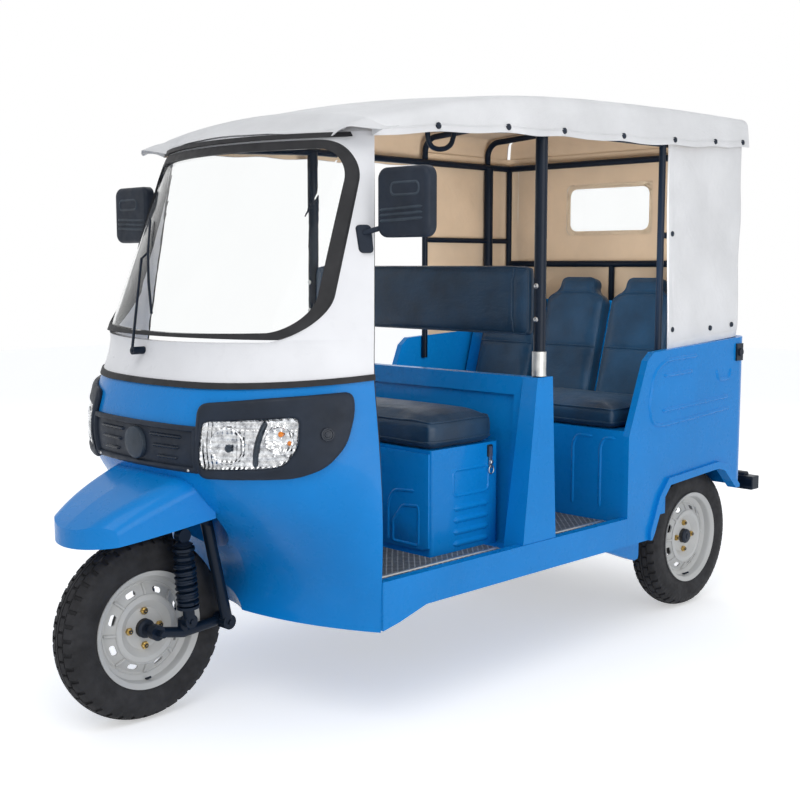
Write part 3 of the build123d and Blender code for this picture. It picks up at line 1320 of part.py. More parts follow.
WHEELS = (
    ("front", (FRONT_AXLE_X, 0, TYRE_R), 1, AXLE_PIN_R + RUN_GAP, 0.0),
    ("rear_left", (REAR_AXLE_X, TRACK / 2, TYRE_R), 1, 0.0, AXLE_END_GAP + SHAFT_ENTRY),
    ("rear_right", (REAR_AXLE_X, -TRACK / 2, TYRE_R), -1, 0.0, AXLE_END_GAP + SHAFT_ENTRY),
)
for name, place, side, bore, shaft in WHEELS:
    tyre = wheel_tyre(place)
    tyre.label = name + "_tyre"
    export_step(tyre, "parts/" + name + "_tyre.step")
    rim = wheel_rim(place, side)
    rim.label = name + "_rim"
    export_step(rim, "parts/" + name + "_rim.step")
    hub = wheel_hub(place, side, bore, shaft)
    hub.label = name + "_hub"
    export_step(hub, "parts/" + name + "_hub.step")


# ---------------------------------------------------------------- chassis and drive
CHASSIS_Z1 = FLOOR_Z - FLOOR - SEAT_GAP
CHASSIS_Z0 = CHASSIS_Z1 - CHASSIS_H
CHASSIS_MID_Z = (CHASSIS_Z0 + CHASSIS_Z1) / 2
CROSS_X = (CHASSIS_REAR_X, -720.0, -440.0, 40.0, 330.0, CHASSIS_FRONT_X - CHASSIS_W)
SPRING_EYE_Z = CHASSIS_Z0 - 12.0
TRAY = 10.0
HEAD_JOIN_Z = 820.0           # height on the steering axis where the neck meets the head tube
with BuildPart() as chassis_frame:
    for name, side in SIDES:
        inner, outer = side * (RAIL_Y - CHASSIS_W / 2), side * (RAIL_Y + CHASSIS_W / 2)
        block(CHASSIS_REAR_X, CHASSIS_FRONT_X, inner, outer, CHASSIS_Z0, CHASSIS_Z1)
        for x in (REAR_AXLE_X - SPRING_HALF, REAR_AXLE_X + SPRING_HALF - 24):
            block(x, x + 24, inner, outer, SPRING_EYE_Z, CHASSIS_Z0)
        block(
            ENGINE_X0 + 40, ENGINE_X1 - 40, inner, inner + side * 12,
            ENGINE_Z0 - SEAT_GAP - TRAY, CHASSIS_Z0,
        )
    for x in CROSS_X:
        block(x, x + CHASSIS_W, -RAIL_Y, RAIL_Y, CHASSIS_Z0, CHASSIS_Z1)
    block(
        ENGINE_X0 + 40, ENGINE_X1 - 40, -RAIL_Y + 10, RAIL_Y - 10,
        ENGINE_Z0 - SEAT_GAP - TRAY, ENGINE_Z0 - SEAT_GAP,
    )
    rod((NECK_X, 0, CHASSIS_MID_Z), (NECK_X, 0, NECK_Z), NECK_HALF)
    with Locations((NECK_X, 0, NECK_Z)):
        Sphere(NECK_HALF)
    rod((NECK_X, 0, NECK_Z), (axis_x(HEAD_JOIN_Z), 0, HEAD_JOIN_Z), NECK_HALF)
    rod((axis_x(HEAD_TUBE_Z0), 0, HEAD_TUBE_Z0), (axis_x(HEAD_TUBE_Z1), 0, HEAD_TUBE_Z1), HEAD_TUBE_R)
    rod(
        (axis_x(CROWN_Z), 0, CROWN_Z), (axis_x(BAR_Z), 0, BAR_Z), STEM_R + RUN_GAP,
        mode=Mode.SUBTRACT,
    )
chassis_frame.part.label = "chassis_frame"
export_step(chassis_frame.part, "parts/chassis_frame.step")

AXLE_END_Y = TRACK / 2 - HUB_REACH - AXLE_END_GAP
with BuildPart() as rear_axle:                # beam with the final drive in its middle
    rod((REAR_AXLE_X, -AXLE_END_Y, TYRE_R), (REAR_AXLE_X, AXLE_END_Y, TYRE_R), AXLE_TUBE_R)
    with Locations((REAR_AXLE_X, 0, TYRE_R)):
        Sphere(DIFF_R)
    rod((REAR_AXLE_X, 0, TYRE_R + 4), (REAR_AXLE_X + DIFF_R + 30, 0, TYRE_R + 4), SHAFT_R + 12)
    for name, side in SIDES:
        rod(
            (REAR_AXLE_X, side * (AXLE_END_Y - SHAFT_ENTRY - 5), TYRE_R),
            (REAR_AXLE_X, side * FAR, TYRE_R),
            HALFSHAFT_R + RUN_GAP, mode=Mode.SUBTRACT,
        )
rear_axle.part.label = "rear_axle"
export_step(rear_axle.part, "parts/rear_axle.step")

with BuildPart() as drive_shaft:
    rod(
        (REAR_AXLE_X + DIFF_R + 30 + SHAFT_END_GAP, 0, TYRE_R + 4),
        (ENGINE_X0 - SHAFT_END_GAP, 0, ENGINE_Z0 + 20), SHAFT_R,
    )
drive_shaft.part.label = "drive_shaft"
export_step(drive_shaft.part, "parts/drive_shaft.step")

SPRING_LOW = TYRE_R - AXLE_TUBE_R - SEAT_GAP - SPRING_THICK
SPRING_END_Z = SPRING_EYE_Z - SEAT_GAP - SPRING_THICK
with BuildPart() as leaf_springs:
    for name, side in SIDES:
        with BuildSketch(Plane.XZ.offset(-side * (RAIL_Y - CHASSIS_W / 2 + 3))) as spring_side:
            with BuildLine():
                x0, x1 = REAR_AXLE_X - SPRING_HALF, REAR_AXLE_X + SPRING_HALF
                lower = ThreePointArc(
                    (x0, SPRING_END_Z), (REAR_AXLE_X, SPRING_LOW), (x1, SPRING_END_Z)
                )
                upper = ThreePointArc(
                    (x1, SPRING_END_Z + SPRING_THICK), (REAR_AXLE_X, SPRING_LOW + SPRING_THICK),
                    (x0, SPRING_END_Z + SPRING_THICK),
                )
                Line(lower @ 1, upper @ 0)
                Line(upper @ 1, lower @ 0)
            make_face()
        extrude(spring_side.sketch, amount=-side * (CHASSIS_W - 6))
leaf_springs.part.label = "leaf_springs"
export_step(leaf_springs.part, "parts/leaf_springs.step")

BUMPER_MID_X = BUMPER_X + BUMPER_R
STAY_R = 14.0
with BuildPart() as rear_bumper:
    rod((BUMPER_MID_X, -BUMPER_HALF, BUMPER_Z), (BUMPER_MID_X, BUMPER_HALF, BUMPER_Z), BUMPER_R)
    for name, side in SIDES:
        y = side * RAIL_Y
        knee = (CHASSIS_REAR_X - 24, y, CHASSIS_MID_Z)
        rod((CHASSIS_REAR_X - SEAT_GAP, y, CHASSIS_MID_Z), knee, STAY_R)
        with Locations(knee):
            Sphere(STAY_R)
        rod(knee, (BUMPER_MID_X, y, BUMPER_Z), STAY_R)
rear_bumper.part.label = "rear_bumper"
export_step(rear_bumper.part, "parts/rear_bumper.step")
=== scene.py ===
"""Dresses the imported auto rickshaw: paint, cloth, padding, tyre tread, lamps and small fittings.

Metres, in the frame's own axes: +X forward, +Y to the vehicle's left, +Z up.
"""
import json
import math

import bmesh
import bpy
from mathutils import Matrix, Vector, noise
from mathutils.bvhtree import BVHTree


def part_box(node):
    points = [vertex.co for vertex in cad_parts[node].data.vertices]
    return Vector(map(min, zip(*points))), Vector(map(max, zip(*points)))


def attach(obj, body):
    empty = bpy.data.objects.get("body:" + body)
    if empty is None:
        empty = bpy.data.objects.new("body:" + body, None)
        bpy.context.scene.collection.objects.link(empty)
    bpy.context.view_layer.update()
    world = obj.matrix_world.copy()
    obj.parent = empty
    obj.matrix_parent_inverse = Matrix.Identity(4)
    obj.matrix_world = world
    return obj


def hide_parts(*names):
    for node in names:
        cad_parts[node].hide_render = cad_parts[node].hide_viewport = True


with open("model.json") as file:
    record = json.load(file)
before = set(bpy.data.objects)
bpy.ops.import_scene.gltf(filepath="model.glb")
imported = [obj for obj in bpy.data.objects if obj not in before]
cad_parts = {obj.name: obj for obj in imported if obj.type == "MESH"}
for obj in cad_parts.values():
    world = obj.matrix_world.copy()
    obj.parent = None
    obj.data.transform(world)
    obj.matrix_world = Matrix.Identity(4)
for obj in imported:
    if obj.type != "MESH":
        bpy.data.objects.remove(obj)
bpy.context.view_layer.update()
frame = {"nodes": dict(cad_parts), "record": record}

NODES = frame["nodes"]

bl_info = {
    "name": "Auto rickshaw dressing",
    "version": (1, 0, 0),
    "blender": (4, 5, 0),
    "location": "View3D > Sidebar > Rickshaw",
    "description": "Finishes, cloth, padding and fittings for a packed auto rickshaw",
    "category": "Object",
}

SIDES = (1, -1)
HANDS = ((1, "left"), (-1, "right"))
WELD = 0.00002                # distance under which points of a closed skin are merged


# ---------------------------------------------------------------- settings
def tint(name, colour, note):
    """Colour property with three linear channels."""
    return bpy.props.FloatVectorProperty(
        name=name, description=note, default=colour, subtype="COLOR", size=3, min=0, max=1
    )


def length(name, value, note):
    """Length property in metres."""
    return bpy.props.FloatProperty(name=name, description=note, default=value, unit="LENGTH")


class RickshawColours(bpy.types.PropertyGroup):
    """Colours of the finishes."""

    body: tint("Body paint", (0.003, 0.205, 0.590), "Paint of the tub, nose and seat boxes")
    hood: tint("Hood paint", (0.79, 0.79, 0.81), "Paint of the screen surround")
    cloth: tint("Canopy outside", (0.78, 0.78, 0.79), "Outer face of the canopy cloth")
    lining: tint("Canopy inside", (0.80, 0.62, 0.44), "Inner face of the canopy cloth")
    vinyl: tint("Seat vinyl", (0.006, 0.030, 0.066), "Covers of the cushions")
    trim: tint("Black trim", (0.010, 0.016, 0.028), "Fascia, mirrors and catches")
    frame: tint("Frame paint", (0.004, 0.010, 0.022), "Tube frame and chassis")
    wheel: tint("Wheel paint", (0.50, 0.50, 0.49), "Wheel discs and rims")
    rubber: tint("Rubber", (0.020, 0.020, 0.022), "Tyres and seals")
    brass: tint("Brass", (0.58, 0.40, 0.13), "Wheel nuts")
    amber: tint("Amber", (0.85, 0.25, 0.02), "Turn lamps")
    floor: tint("Floor", (0.93, 0.93, 0.93), "Floor and backdrop")


class RickshawSizes(bpy.types.PropertyGroup):
    """Sizes of the dressing."""

    cloth_thick: length("Cloth thickness", 0.0022, "Thickness of canopy and curtain cloth")
    roof_sag: length("Roof sag", 0.009, "Sag of the canopy between its hoops")
    fold_depth: length("Fold depth", 0.0065, "Depth of the curtains' folds")
    snap_radius: length("Snap radius", 0.0095, "Radius of a cloth fastener")
    tread_depth: length("Tread depth", 0.0065, "Depth of the tyre grooves")
    pad_swell: length("Cushion swell", 0.012, "How far a cushion may swell")
    voxel: length("Cushion mesh size", 0.011, "Mesh size of the cushions while they swell")
    bead_height: length("Bead height", 0.0032, "Height of pressed beads in the panels")


def colours():
    """Colour settings of the scene."""
    return bpy.context.scene.rickshaw_colours


def sizes():
    """Size settings of the scene."""
    return bpy.context.scene.rickshaw_sizes


# ---------------------------------------------------------------- materials
class Tree:
    """Node tree of a new material with one Principled shader."""

    def __init__(self, name):
        self.material = bpy.data.materials.new(name)
        self.material.use_nodes = True
        self.nodes = self.material.node_tree.nodes
        self.links = self.material.node_tree.links
        self.shader = self.nodes["Principled BSDF"]
        self.place = self.nodes.new("ShaderNodeTexCoord").outputs["Object"]

    def add(self, kind, **values):
        """New node with its settings and unlinked input values."""
        node = self.nodes.new("ShaderNode" + kind)
        for key, value in values.items():
            if hasattr(node, key):
                setattr(node, key, value)
            else:
                node.inputs[key.replace("_", " ")].default_value = value
        return node

    def join(self, output, node, socket):
        """Link from an output to an input."""
        self.links.new(output, node.inputs[socket])

    def noise(self, scale, detail=3.0, stretch=(1, 1, 1), roughness=0.55):
        """Noise value over the object's own space."""
        mapping = self.add("Mapping", Scale=stretch)
        self.join(self.place, mapping, "Vector")
        texture = self.add("TexNoise", Scale=scale, Detail=detail, Roughness=roughness)
        self.join(mapping.outputs[0], texture, "Vector")
        return texture.outputs["Fac"]

    def cells(self, scale):
        """Distance to the nearest edge of a cell pattern."""
        texture = self.add("TexVoronoi", feature="DISTANCE_TO_EDGE", Scale=scale)
        self.join(self.place, texture, "Vector")
        return texture.outputs["Distance"]

    def waves(self, scale, direction, distortion=0.0, turn=(0, 0, 0)):
        """Value of straight bands."""
        mapping = self.add("Mapping", Rotation=turn)
        self.join(self.place, mapping, "Vector")
        texture = self.add(
            "TexWave", bands_direction=direction, Scale=scale, Distortion=distortion
        )
        self.join(mapping.outputs[0], texture, "Vector")
        return texture.outputs["Fac"]

    def span(self, value, low, high, start=0.3, end=0.7):
        """Value mapped from start..end to low..high."""
        node = self.add("MapRange")
        self.join(value, node, "Value")
        ends = {"From Min": start, "From Max": end, "To Min": low, "To Max": high}
        for key, number in ends.items():
            node.inputs[key].default_value = number
        return node.outputs["Result"]

    def maths(self, operation, a, b):
        """Result of a sum on two values, either of which may be a number."""
        node = self.add("Math", operation=operation)
        for index, value in enumerate((a, b)):
            if isinstance(value, (int, float)):
                node.inputs[index].default_value = value
            else:
                self.links.new(value, node.inputs[index])
        return node.outputs[0]

    def colour(self, value, dark, light):
        """Base colour that runs from dark to light with value."""
        mix = self.add("Mix", data_type="RGBA")
        mix.inputs["A"].default_value = (*dark, 1)
        mix.inputs["B"].default_value = (*light, 1)
        self.join(value, mix, "Factor")
        self.links.new(mix.outputs["Result"], self.shader.inputs["Base Color"])

    def bump(self, *layers):
        """Bump from layers of value, height in metres, stacked on the shader's normal."""
        below = None
        for value, depth in layers:
            node = self.add("Bump", Strength=1.0, Distance=depth)
            self.join(value, node, "Height")
            if below:
                self.join(below, node, "Normal")
            below = node.outputs["Normal"]
        self.links.new(below, self.shader.inputs["Normal"])

    def mottle(self, scale, detail, colour, low, high):
        """Base colour clouded between two strengths of one colour."""
        cloud = self.span(self.noise(scale, detail), 0, 1)
        self.colour(cloud, shade(colour, low), shade(colour, high))

    def rough(self, value, low, high):
        """Roughness that runs from low to high with value."""
        self.links.new(self.span(value, low, high), self.shader.inputs["Roughness"])

    def set(self, **values):
        """Plain values on the shader's own sockets."""
        for key, value in values.items():
            self.shader.inputs[key.replace("_", " ")].default_value = value
        return self


def shade(colour, factor):
    """Colour times a factor, held within 0..1."""
    return tuple(min(1.0, max(0.0, channel * factor)) for channel in colour)


def paint(name, colour, roughness=0.28, peel=0.00003):
    """Sprayed gloss paint: soft mottling, dust in the gloss and orange peel."""
    tree = Tree(name)
    tree.set(Coat_Weight=0.10, Coat_Roughness=0.05, Specular_IOR_Level=0.14)
    tree.mottle(3.2, 4, colour, 0.93, 1.06)
    tree.rough(tree.noise(26, 5), roughness - 0.05, roughness + 0.08)
    tree.bump((tree.noise(420, 2), peel))
    return tree.material


def moulded(name, colour, roughness=0.5, grain=0.00012):
    """Moulded plastic with a fine leathery grain."""
    tree = Tree(name)
    tree.set(Specular_IOR_Level=0.25)
    tree.mottle(11, 5, colour, 0.8, 1.35)
    tree.rough(tree.noise(40, 4), roughness - 0.08, roughness + 0.1)
    tree.bump((tree.cells(900), grain), (tree.noise(60, 3), grain))
    return tree.material


def vinyl(name, colour):
    """Seat vinyl: pebbled grain, soft creases and a worn sheen."""
    tree = Tree(name)
    tree.set(Sheen_Weight=0.05, Sheen_Roughness=0.5, Coat_Weight=0.08, Coat_Roughness=0.3)
    tree.set(Specular_IOR_Level=0.35)
    tree.mottle(7, 6, colour, 0.75, 1.5)
    tree.rough(tree.noise(15, 5), 0.34, 0.52)
    creases = tree.noise(12, 5, (1, 1, 2.4), 0.6)
    tree.bump((tree.cells(520), 0.00025), (creases, 0.0028), (tree.noise(45, 3), 0.0006))
    return tree.material


def cloth(name, colour):
    """Coated canvas: woven threads, faint dirt and creases."""
    tree = Tree(name)
    tree.set(Sheen_Weight=0.15, Sheen_Roughness=0.6)
    tree.mottle(4.5, 6, colour, 0.9, 1.05)
    tree.rough(tree.noise(30, 4), 0.62, 0.82)
    threads = 260
    warp = tree.maths("ADD", tree.waves(threads, "X"), tree.waves(threads, "Y"))
    woven = tree.maths("ADD", warp, tree.waves(threads, "Z"))
    tree.bump((woven, 0.00018), (tree.noise(14, 6, (1, 1, 0.6), 0.62), 0.003))
    return tree.material


def metal(name, colour, roughness, stretch=(1, 1, 1), flecks=90):
    """Bare or plated metal with fine marks."""
    tree = Tree(name)
    tree.set(Metallic=1.0)
    marks = tree.noise(flecks, 5, stretch)
    tree.colour(tree.span(marks, 0, 1), shade(colour, 0.82), shade(colour, 1.12))
    tree.rough(marks, roughness - 0.07, roughness + 0.12)
    tree.bump((marks, 0.00008))
    return tree.material


def cast(name, colour):
    """Rough casting."""
    tree = Tree(name)
    tree.set(Metallic=0.7)
    tree.mottle(38, 6, colour, 0.7, 1.3)
    tree.rough(tree.noise(70, 5), 0.5, 0.75)
    tree.bump((tree.noise(260, 4), 0.0006))
    return tree.material


def tyre_rubber(name, colour):
    """Tyre rubber with road dust in its grain."""
    tree = Tree(name)
    tree.set(Specular_IOR_Level=0.22)
    tree.mottle(16, 6, colour, 0.7, 1.6)
    tree.rough(tree.noise(55, 4), 0.6, 0.8)
    tree.bump((tree.noise(340, 3), 0.0003))
    return tree.material


def matting(name, dark, light):
    """Chequered floor mat: raised bright diamonds on a dark ground."""
    tree = Tree(name)
    slants = [
        tree.waves(19, "X", 0.6, (0, 0, math.radians(turn))) for turn in (45, -45)
    ]
    ribs = tree.maths("MAXIMUM", *slants)
    wear = tree.span(tree.noise(60, 4), 0.35, 1.0)
    tree.colour(tree.maths("MULTIPLY", tree.span(ribs, 0, 1, 0.80, 0.97), wear), dark, light)
    tree.rough(tree.noise(48, 4), 0.42, 0.62)
    tree.bump((tree.span(ribs, 0, 1, 0.72, 0.92), 0.0022), (tree.noise(420, 3), 0.0002))
    return tree.material


def clear(name, colour, roughness=0.02, ior=1.2):
    """Clear glass or plastic with a trace of dust."""
    tree = Tree(name)
    tree.set(Transmission_Weight=1.0, IOR=ior, Specular_IOR_Level=0.5)
    tree.mottle(6, 4, colour, 0.985, 1)
    tree.rough(tree.noise(24, 5), roughness, roughness + 0.02)
    return tree.material


def reflector(name):
    """Bright fluted lamp reflector, its colour mottled dark in patches as a painted reflection of
    darker surroundings.
    """
    tree = Tree(name)
    tree.set(Metallic=1.0)
    # painted reflection: the metal's colour runs in patches from dark to bright, standing in for
    # darker things mirrored in it
    tree.colour(tree.span(tree.noise(60, 3), 0, 1), (0.30, 0.31, 0.33), (0.86, 0.87, 0.88))
    tree.rough(tree.noise(90, 3), 0.06, 0.16)
    tree.bump((tree.waves(26, "Y"), 0.0016), (tree.waves(19, "Z"), 0.0012))
    return tree.material


def glow_plastic(name, colour):
    """Coloured lamp plastic."""
    tree = Tree(name)
    tree.set(Transmission_Weight=0.35, IOR=1.45)
    tree.mottle(30, 3, colour, 0.85, 1.1)
    tree.rough(tree.noise(60, 3), 0.1, 0.2)
    tree.bump((tree.waves(40, "Z"), 0.0008))
    return tree.material


FINISHES = {}


def make_finishes():
    """All finishes, by the name of the record's material slot or of a fitting."""
    tone = colours()
    body, hood, trim = tuple(tone.body), tuple(tone.hood), tuple(tone.trim)
    rubber, tube = tuple(tone.rubber), tuple(tone.frame)
    FINISHES.update(
        blue_paint=paint("body_paint", body),
        white_paint=paint("hood_paint", hood, 0.3),
        black_plastic=moulded("trim_plastic", trim),
        black_gloss=moulded("gloss_plastic", trim, 0.25, 0.00003),
        seal_rubber=moulded("seal_rubber", rubber, 0.6),
        mat_rubber=matting("mat_rubber", (0.055, 0.062, 0.068), (0.42, 0.44, 0.44)),
        screen_glass=clear("screen_glass", (0.97, 0.985, 0.985), 0.0, 1.12),
        lamp_glass=clear("lamp_glass", (0.99, 0.99, 0.99), 0.0, 1.08),
        red_lens=glow_plastic("red_lens", (0.42, 0.012, 0.012)),
        black_steel=paint("frame_paint", tube, 0.36, 0.00012),
        silver_paint=paint("wheel_paint", tuple(tone.wheel), 0.34),
        seat_vinyl=vinyl("seat_vinyl", tuple(tone.vinyl)),
        canopy_cloth=cloth("canopy_cloth", tuple(tone.cloth)),
        lining=cloth("canopy_lining", tuple(tone.lining)),
        slate_plastic=moulded("slate_plastic", (0.030, 0.042, 0.058), 0.45),
        mirror_face=metal("mirror_face", (0.92, 0.93, 0.94), 0.08),
        cast_metal=cast("cast_metal", (0.05, 0.05, 0.052)),
        tyre_rubber=tyre_rubber("tyre_rubber", rubber),
        bright_steel=metal("bright_steel", (0.52, 0.52, 0.52), 0.32, (1, 6, 6)),
        galvanised=metal("galvanised", (0.58, 0.58, 0.56), 0.45, (1, 1, 1), 40),
        brass=metal("nut_brass", tuple(tone.brass), 0.28),
        lamp_reflector=reflector("lamp_reflector"),
        amber_lens=glow_plastic("amber_lens", tuple(tone.amber)),
    )


# ---------------------------------------------------------------- mesh helpers
def linked(name, data):
    """New object in the scene around mesh or curve data."""
    obj = bpy.data.objects.new(name, data)
    bpy.context.scene.collection.objects.link(obj)
    return obj


def piece(name, points, faces, finish, body="root", sharp=35, slot=None):
    """New smooth mesh object that rides on a body, sharp above an angle in degrees."""
    mesh = bpy.data.meshes.new(name)
    mesh.from_pydata([tuple(point) for point in points], [], faces)
    mesh.validate()
    obj = linked(name, mesh)
    mesh.materials.append(FINISHES[finish])
    mend(obj)
    mesh.shade_smooth()
    mesh.set_sharp_from_angle(angle=math.radians(sharp))
    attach(obj, body)
    return obj


def mend(obj, weld=None):
    """Faces turned outwards, after points within weld of each other are merged."""
    work = bmesh.new()
    work.from_mesh(obj.data)
    if weld:
        bmesh.ops.remove_doubles(work, verts=work.verts, dist=weld)
    bmesh.ops.recalc_face_normals(work, faces=work.faces)
    work.to_mesh(obj.data)
    work.free()


def grid(rows):
    """Points and quads of a sheet given as rows of points of equal length."""
    width = len(rows[0])
    points = [point for row in rows for point in row]
    faces = [
        (r * width + c, r * width + c + 1, (r + 1) * width + c + 1, (r + 1) * width + c)
        for r in range(len(rows) - 1)
        for c in range(width - 1)
    ]
    return points, faces


def ring_grid(rings, closed_ends):
    """Points and quads through closed rings of points of equal count."""
    count, last = len(rings[0]), len(rings) - 1
    points = [point for ring in rings for point in ring]
    faces = []
    for r in range(last):
        for c in range(count):
            here, after = r * count, (c + 1) % count
            faces.append((here + c, here + after, here + count + after, here + count + c))
    if closed_ends:
        faces += [tuple(range(count))[::-1], tuple(last * count + c for c in range(count))]
    return points, faces


def ringed_piece(name, rings, finish, body="root", closed_ends=False, **settings):
    """Piece whose skin runs through closed rings of points."""
    return piece(name, *ring_grid(rings, closed_ends), finish, body, **settings)


def rectangle(u0, u1, v0, v1):
    """Corners of a rectangle, in order."""
    return (u0, v0), (u1, v0), (u1, v1), (u0, v1)


def sided(side, *corners):
    """Outline given as (y, z) pairs of the left side, for one side."""
    return [(side * y, z) for y, z in corners]


def frame_along(direction):
    """Two unit vectors square to a direction."""
    up = Vector((0, 0, 1)) if abs(direction.z) < 0.9 else Vector((1, 0, 0))
    first = direction.cross(up).normalized()
    return first, direction.cross(first).normalized()


def lathe(name, profile, centre, axis, finish, body="root", *, steps, sharp=35):
    """Solid of revolution; profile holds (distance along the axis, radius)."""
    axis = Vector(axis).normalized()
    first, second = frame_along(axis)
    centre = Vector(centre)
    rings = []
    for along, radius in profile:
        middle = centre + axis * along
        rings.append([
            middle + (first * math.cos(turn) + second * math.sin(turn)) * max(radius, 1e-5)
            for turn in (2 * math.pi * step / steps for step in range(steps))
        ])
    return ringed_piece(name, rings, finish, body, True, sharp=sharp)


def wire(name, runs, radius, finish, body="root"):
    """Round wire along one or more runs of points, as one curve object."""
    curve = bpy.data.curves.new(name, "CURVE")
    curve.dimensions = "3D"
    curve.bevel_depth = radius
    curve.bevel_resolution = 4
    curve.use_fill_caps = True
    for run in runs:
        spline = curve.splines.new("POLY")
        spline.points.add(len(run) - 1)
        for point, place in zip(spline.points, run):
            point.co = (*place, 1)
    curve.materials.append(FINISHES[finish])
    obj = linked(name, curve)
    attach(obj, body)
    return obj


def join(name, parts):
    """One object made of several mesh objects on the same body."""
    first = parts[0]
    with bpy.context.temp_override(active_object=first, selected_editable_objects=parts):
        bpy.ops.object.join()
    first.name = name
    return first


def pressed(name, runs, width, height, finish):
    """Raised ribbons with soft flanks along runs of (place, normal), round at open ends."""
    profile = (
        (-1.0, -0.15), (-0.74, 0.14), (-0.46, 0.70), (-0.16, 0.98), (0.16, 0.98), (0.46, 0.70),
        (0.74, 0.14), (1.0, -0.15),
    )
    points, faces = [], []
    for run in runs:
        last = len(run) - 1
        closed = (run[0][0] - run[last][0]).length < 1e-6
        rows = []
        for k, (place, normal) in enumerate(run):
            if closed:
                ahead = run[(k + 1) % last][0] - run[(k - 1) % last][0]
            else:
                ahead = run[min(k + 1, last)][0] - run[max(k - 1, 0)][0]
            across = ahead.cross(normal).normalized()
            reach = min((place - run[0][0]).length, (place - run[last][0]).length)
            end = 1.0 if closed else 0.12 + 0.88 * math.sin(math.pi / 2 * min(1.0, reach / width))
            rows.append([
                place + across * (width * end * u) + normal * (height * min(1.0, end * 1.1) * v)
                for u, v in profile
            ])
        more, quads = grid(rows)
        faces += [tuple(len(points) + i for i in quad) for quad in quads]
        points += more
    return piece(name, points, faces, finish, sharp=70)


def softened(before, here, after, radius, steps):
    """Points round one corner of an outline, from three (u, v) pairs."""
    corner = Vector((*here, 0))
    back, ahead = Vector((*before, 0)) - corner, Vector((*after, 0)) - corner
    reach = min(radius, back.length * 0.48, ahead.length * 0.48)
    start, end = corner + back.normalized() * reach, corner + ahead.normalized() * reach
    points = []
    for step in range(steps + 1):
        share = step / steps
        point = start.lerp(corner, share).lerp(corner.lerp(end, share), share)
        points.append((point.x, point.y))
    return points


def stepped(outline, gap, least=0):
    """Outline spread into steps of about one gap."""
    total = sum(math.dist(a, b) for a, b in zip(outline, outline[1:]))
    return resampled(outline, max(least, round(total / gap)))


def bent(corners, radius):
    """Open polyline in a plane with its inner corners rounded, in even steps."""
    outline = [corners[0]]
    for before, here, after in zip(corners, corners[1:], corners[2:]):
        outline += softened(before, here, after, radius, 6)
    return stepped(outline + [corners[-1]], 0.008, 4)


def ringed(corners, radius, gap=0.008):
    """Closed outline in a plane with rounded corners, in even steps, first point repeated."""
    outline = arc_points(corners, radius, 8)
    return stepped(outline + outline[:1], gap)


def on_side(tree, side, run):
    """Places and normals of (x, z) points on an upright wall, seen from outside."""
    return [hit(tree, (x, side * 1.5, z), (0, -side, 0), (x, side * 0.6, z)) for x, z in run]


def on_front_of(tree, run):
    """Places and normals of (y, z) points on a wall seen from just ahead of it."""
    return [hit(tree, (-0.05, y, z), (-1, 0, 0), (-0.35, y, z)) for y, z in run]


def on_front(tree, run):
    """Places and normals of (y, z) points on a wall seen from the front."""
    return [hit(tree, (2.0, y, z), (-1, 0, 0), (0.4, y, z)) for y, z in run]


def search_tree(mesh):
    """Search tree over a mesh's faces."""
    return BVHTree.FromPolygons(
        [vertex.co for vertex in mesh.vertices], [tuple(face.vertices) for face in mesh.polygons]
    )


def surface(node):
    """Search tree over a frame node's faces."""
    return search_tree(NODES[node].data)


def hit(tree, origin, direction, fallback):
    """Where a ray meets a surface, and the surface's normal."""
    place, normal, _, _ = tree.ray_cast(Vector(origin), Vector(direction).normalized())
    if place is None:
        return Vector(fallback), -Vector(direction).normalized()
    if normal.dot(Vector(direction)) > 0:
        normal.negate()
    return place, normal


def blend_between(value, low, high):
    """Smooth step from 0 at low to 1 at high."""
    share = min(1.0, max(0.0, (value - low) / (high - low)))
    return share * share * (3 - 2 * share)


def arc_points(corners, radius, steps=6):
    """Closed outline in a plane with its corners rounded, as (u, v) pairs."""
    outline = []
    for index, corner in enumerate(corners):
        after = corners[(index + 1) % len(corners)]
        outline += softened(corners[index - 1], corner, after, radius, steps)
    return outline


# ---------------------------------------------------------------- canopy and curtains
# Rows of the canopy.  Columns: x, half width, heights of hem, shoulder and crown
CANOPY = (
    (0.710, 0.487, 1.640, 1.676, 1.716),
    (0.350, 0.560, 1.668, 1.755, 1.800),
    (-0.010, 0.592, 1.680, 1.795, 1.835),
    (-0.650, 0.600, 1.697, 1.818, 1.850),
    (-1.195, 0.590, 1.725, 1.824, 1.855),
)
CANOPY_FRONT = 0.670
CANOPY_REAR = -1.195
CANOPY_LEAN = 0.12
CANOPY_SHOULDER = 0.030
HOOPS = (-0.010, -0.640, -1.030)
SNAPS_X = (0.46, 0.20, -0.05, -0.36, -0.66, -0.93, -1.13)


def canopy_row(x):
    """Half width, hem, shoulder and crown of the canopy at x, on a smooth curve."""
    rows = CANOPY
    x = min(rows[0][0], max(rows[-1][0], x))
    k = max(i for i in range(len(rows) - 1) if x <= rows[i][0] + 1e-9)
    before, here = rows[max(0, k - 1)], rows[k]
    after, beyond = rows[k + 1], rows[min(len(rows) - 1, k + 2)]
    span = after[0] - here[0]
    t = (x - here[0]) / span
    result = []
    for c in range(1, 5):
        slope0 = (after[c] - before[c]) / (after[0] - before[0]) * span
        slope1 = (beyond[c] - here[c]) / (beyond[0] - here[0]) * span
        result.append(
            (2 * t**3 - 3 * t**2 + 1) * here[c] + (t**3 - 2 * t**2 + t) * slope0
            + (3 * t**2 - 2 * t**3) * after[c] + (t**3 - t**2) * slope1
        )
    return result


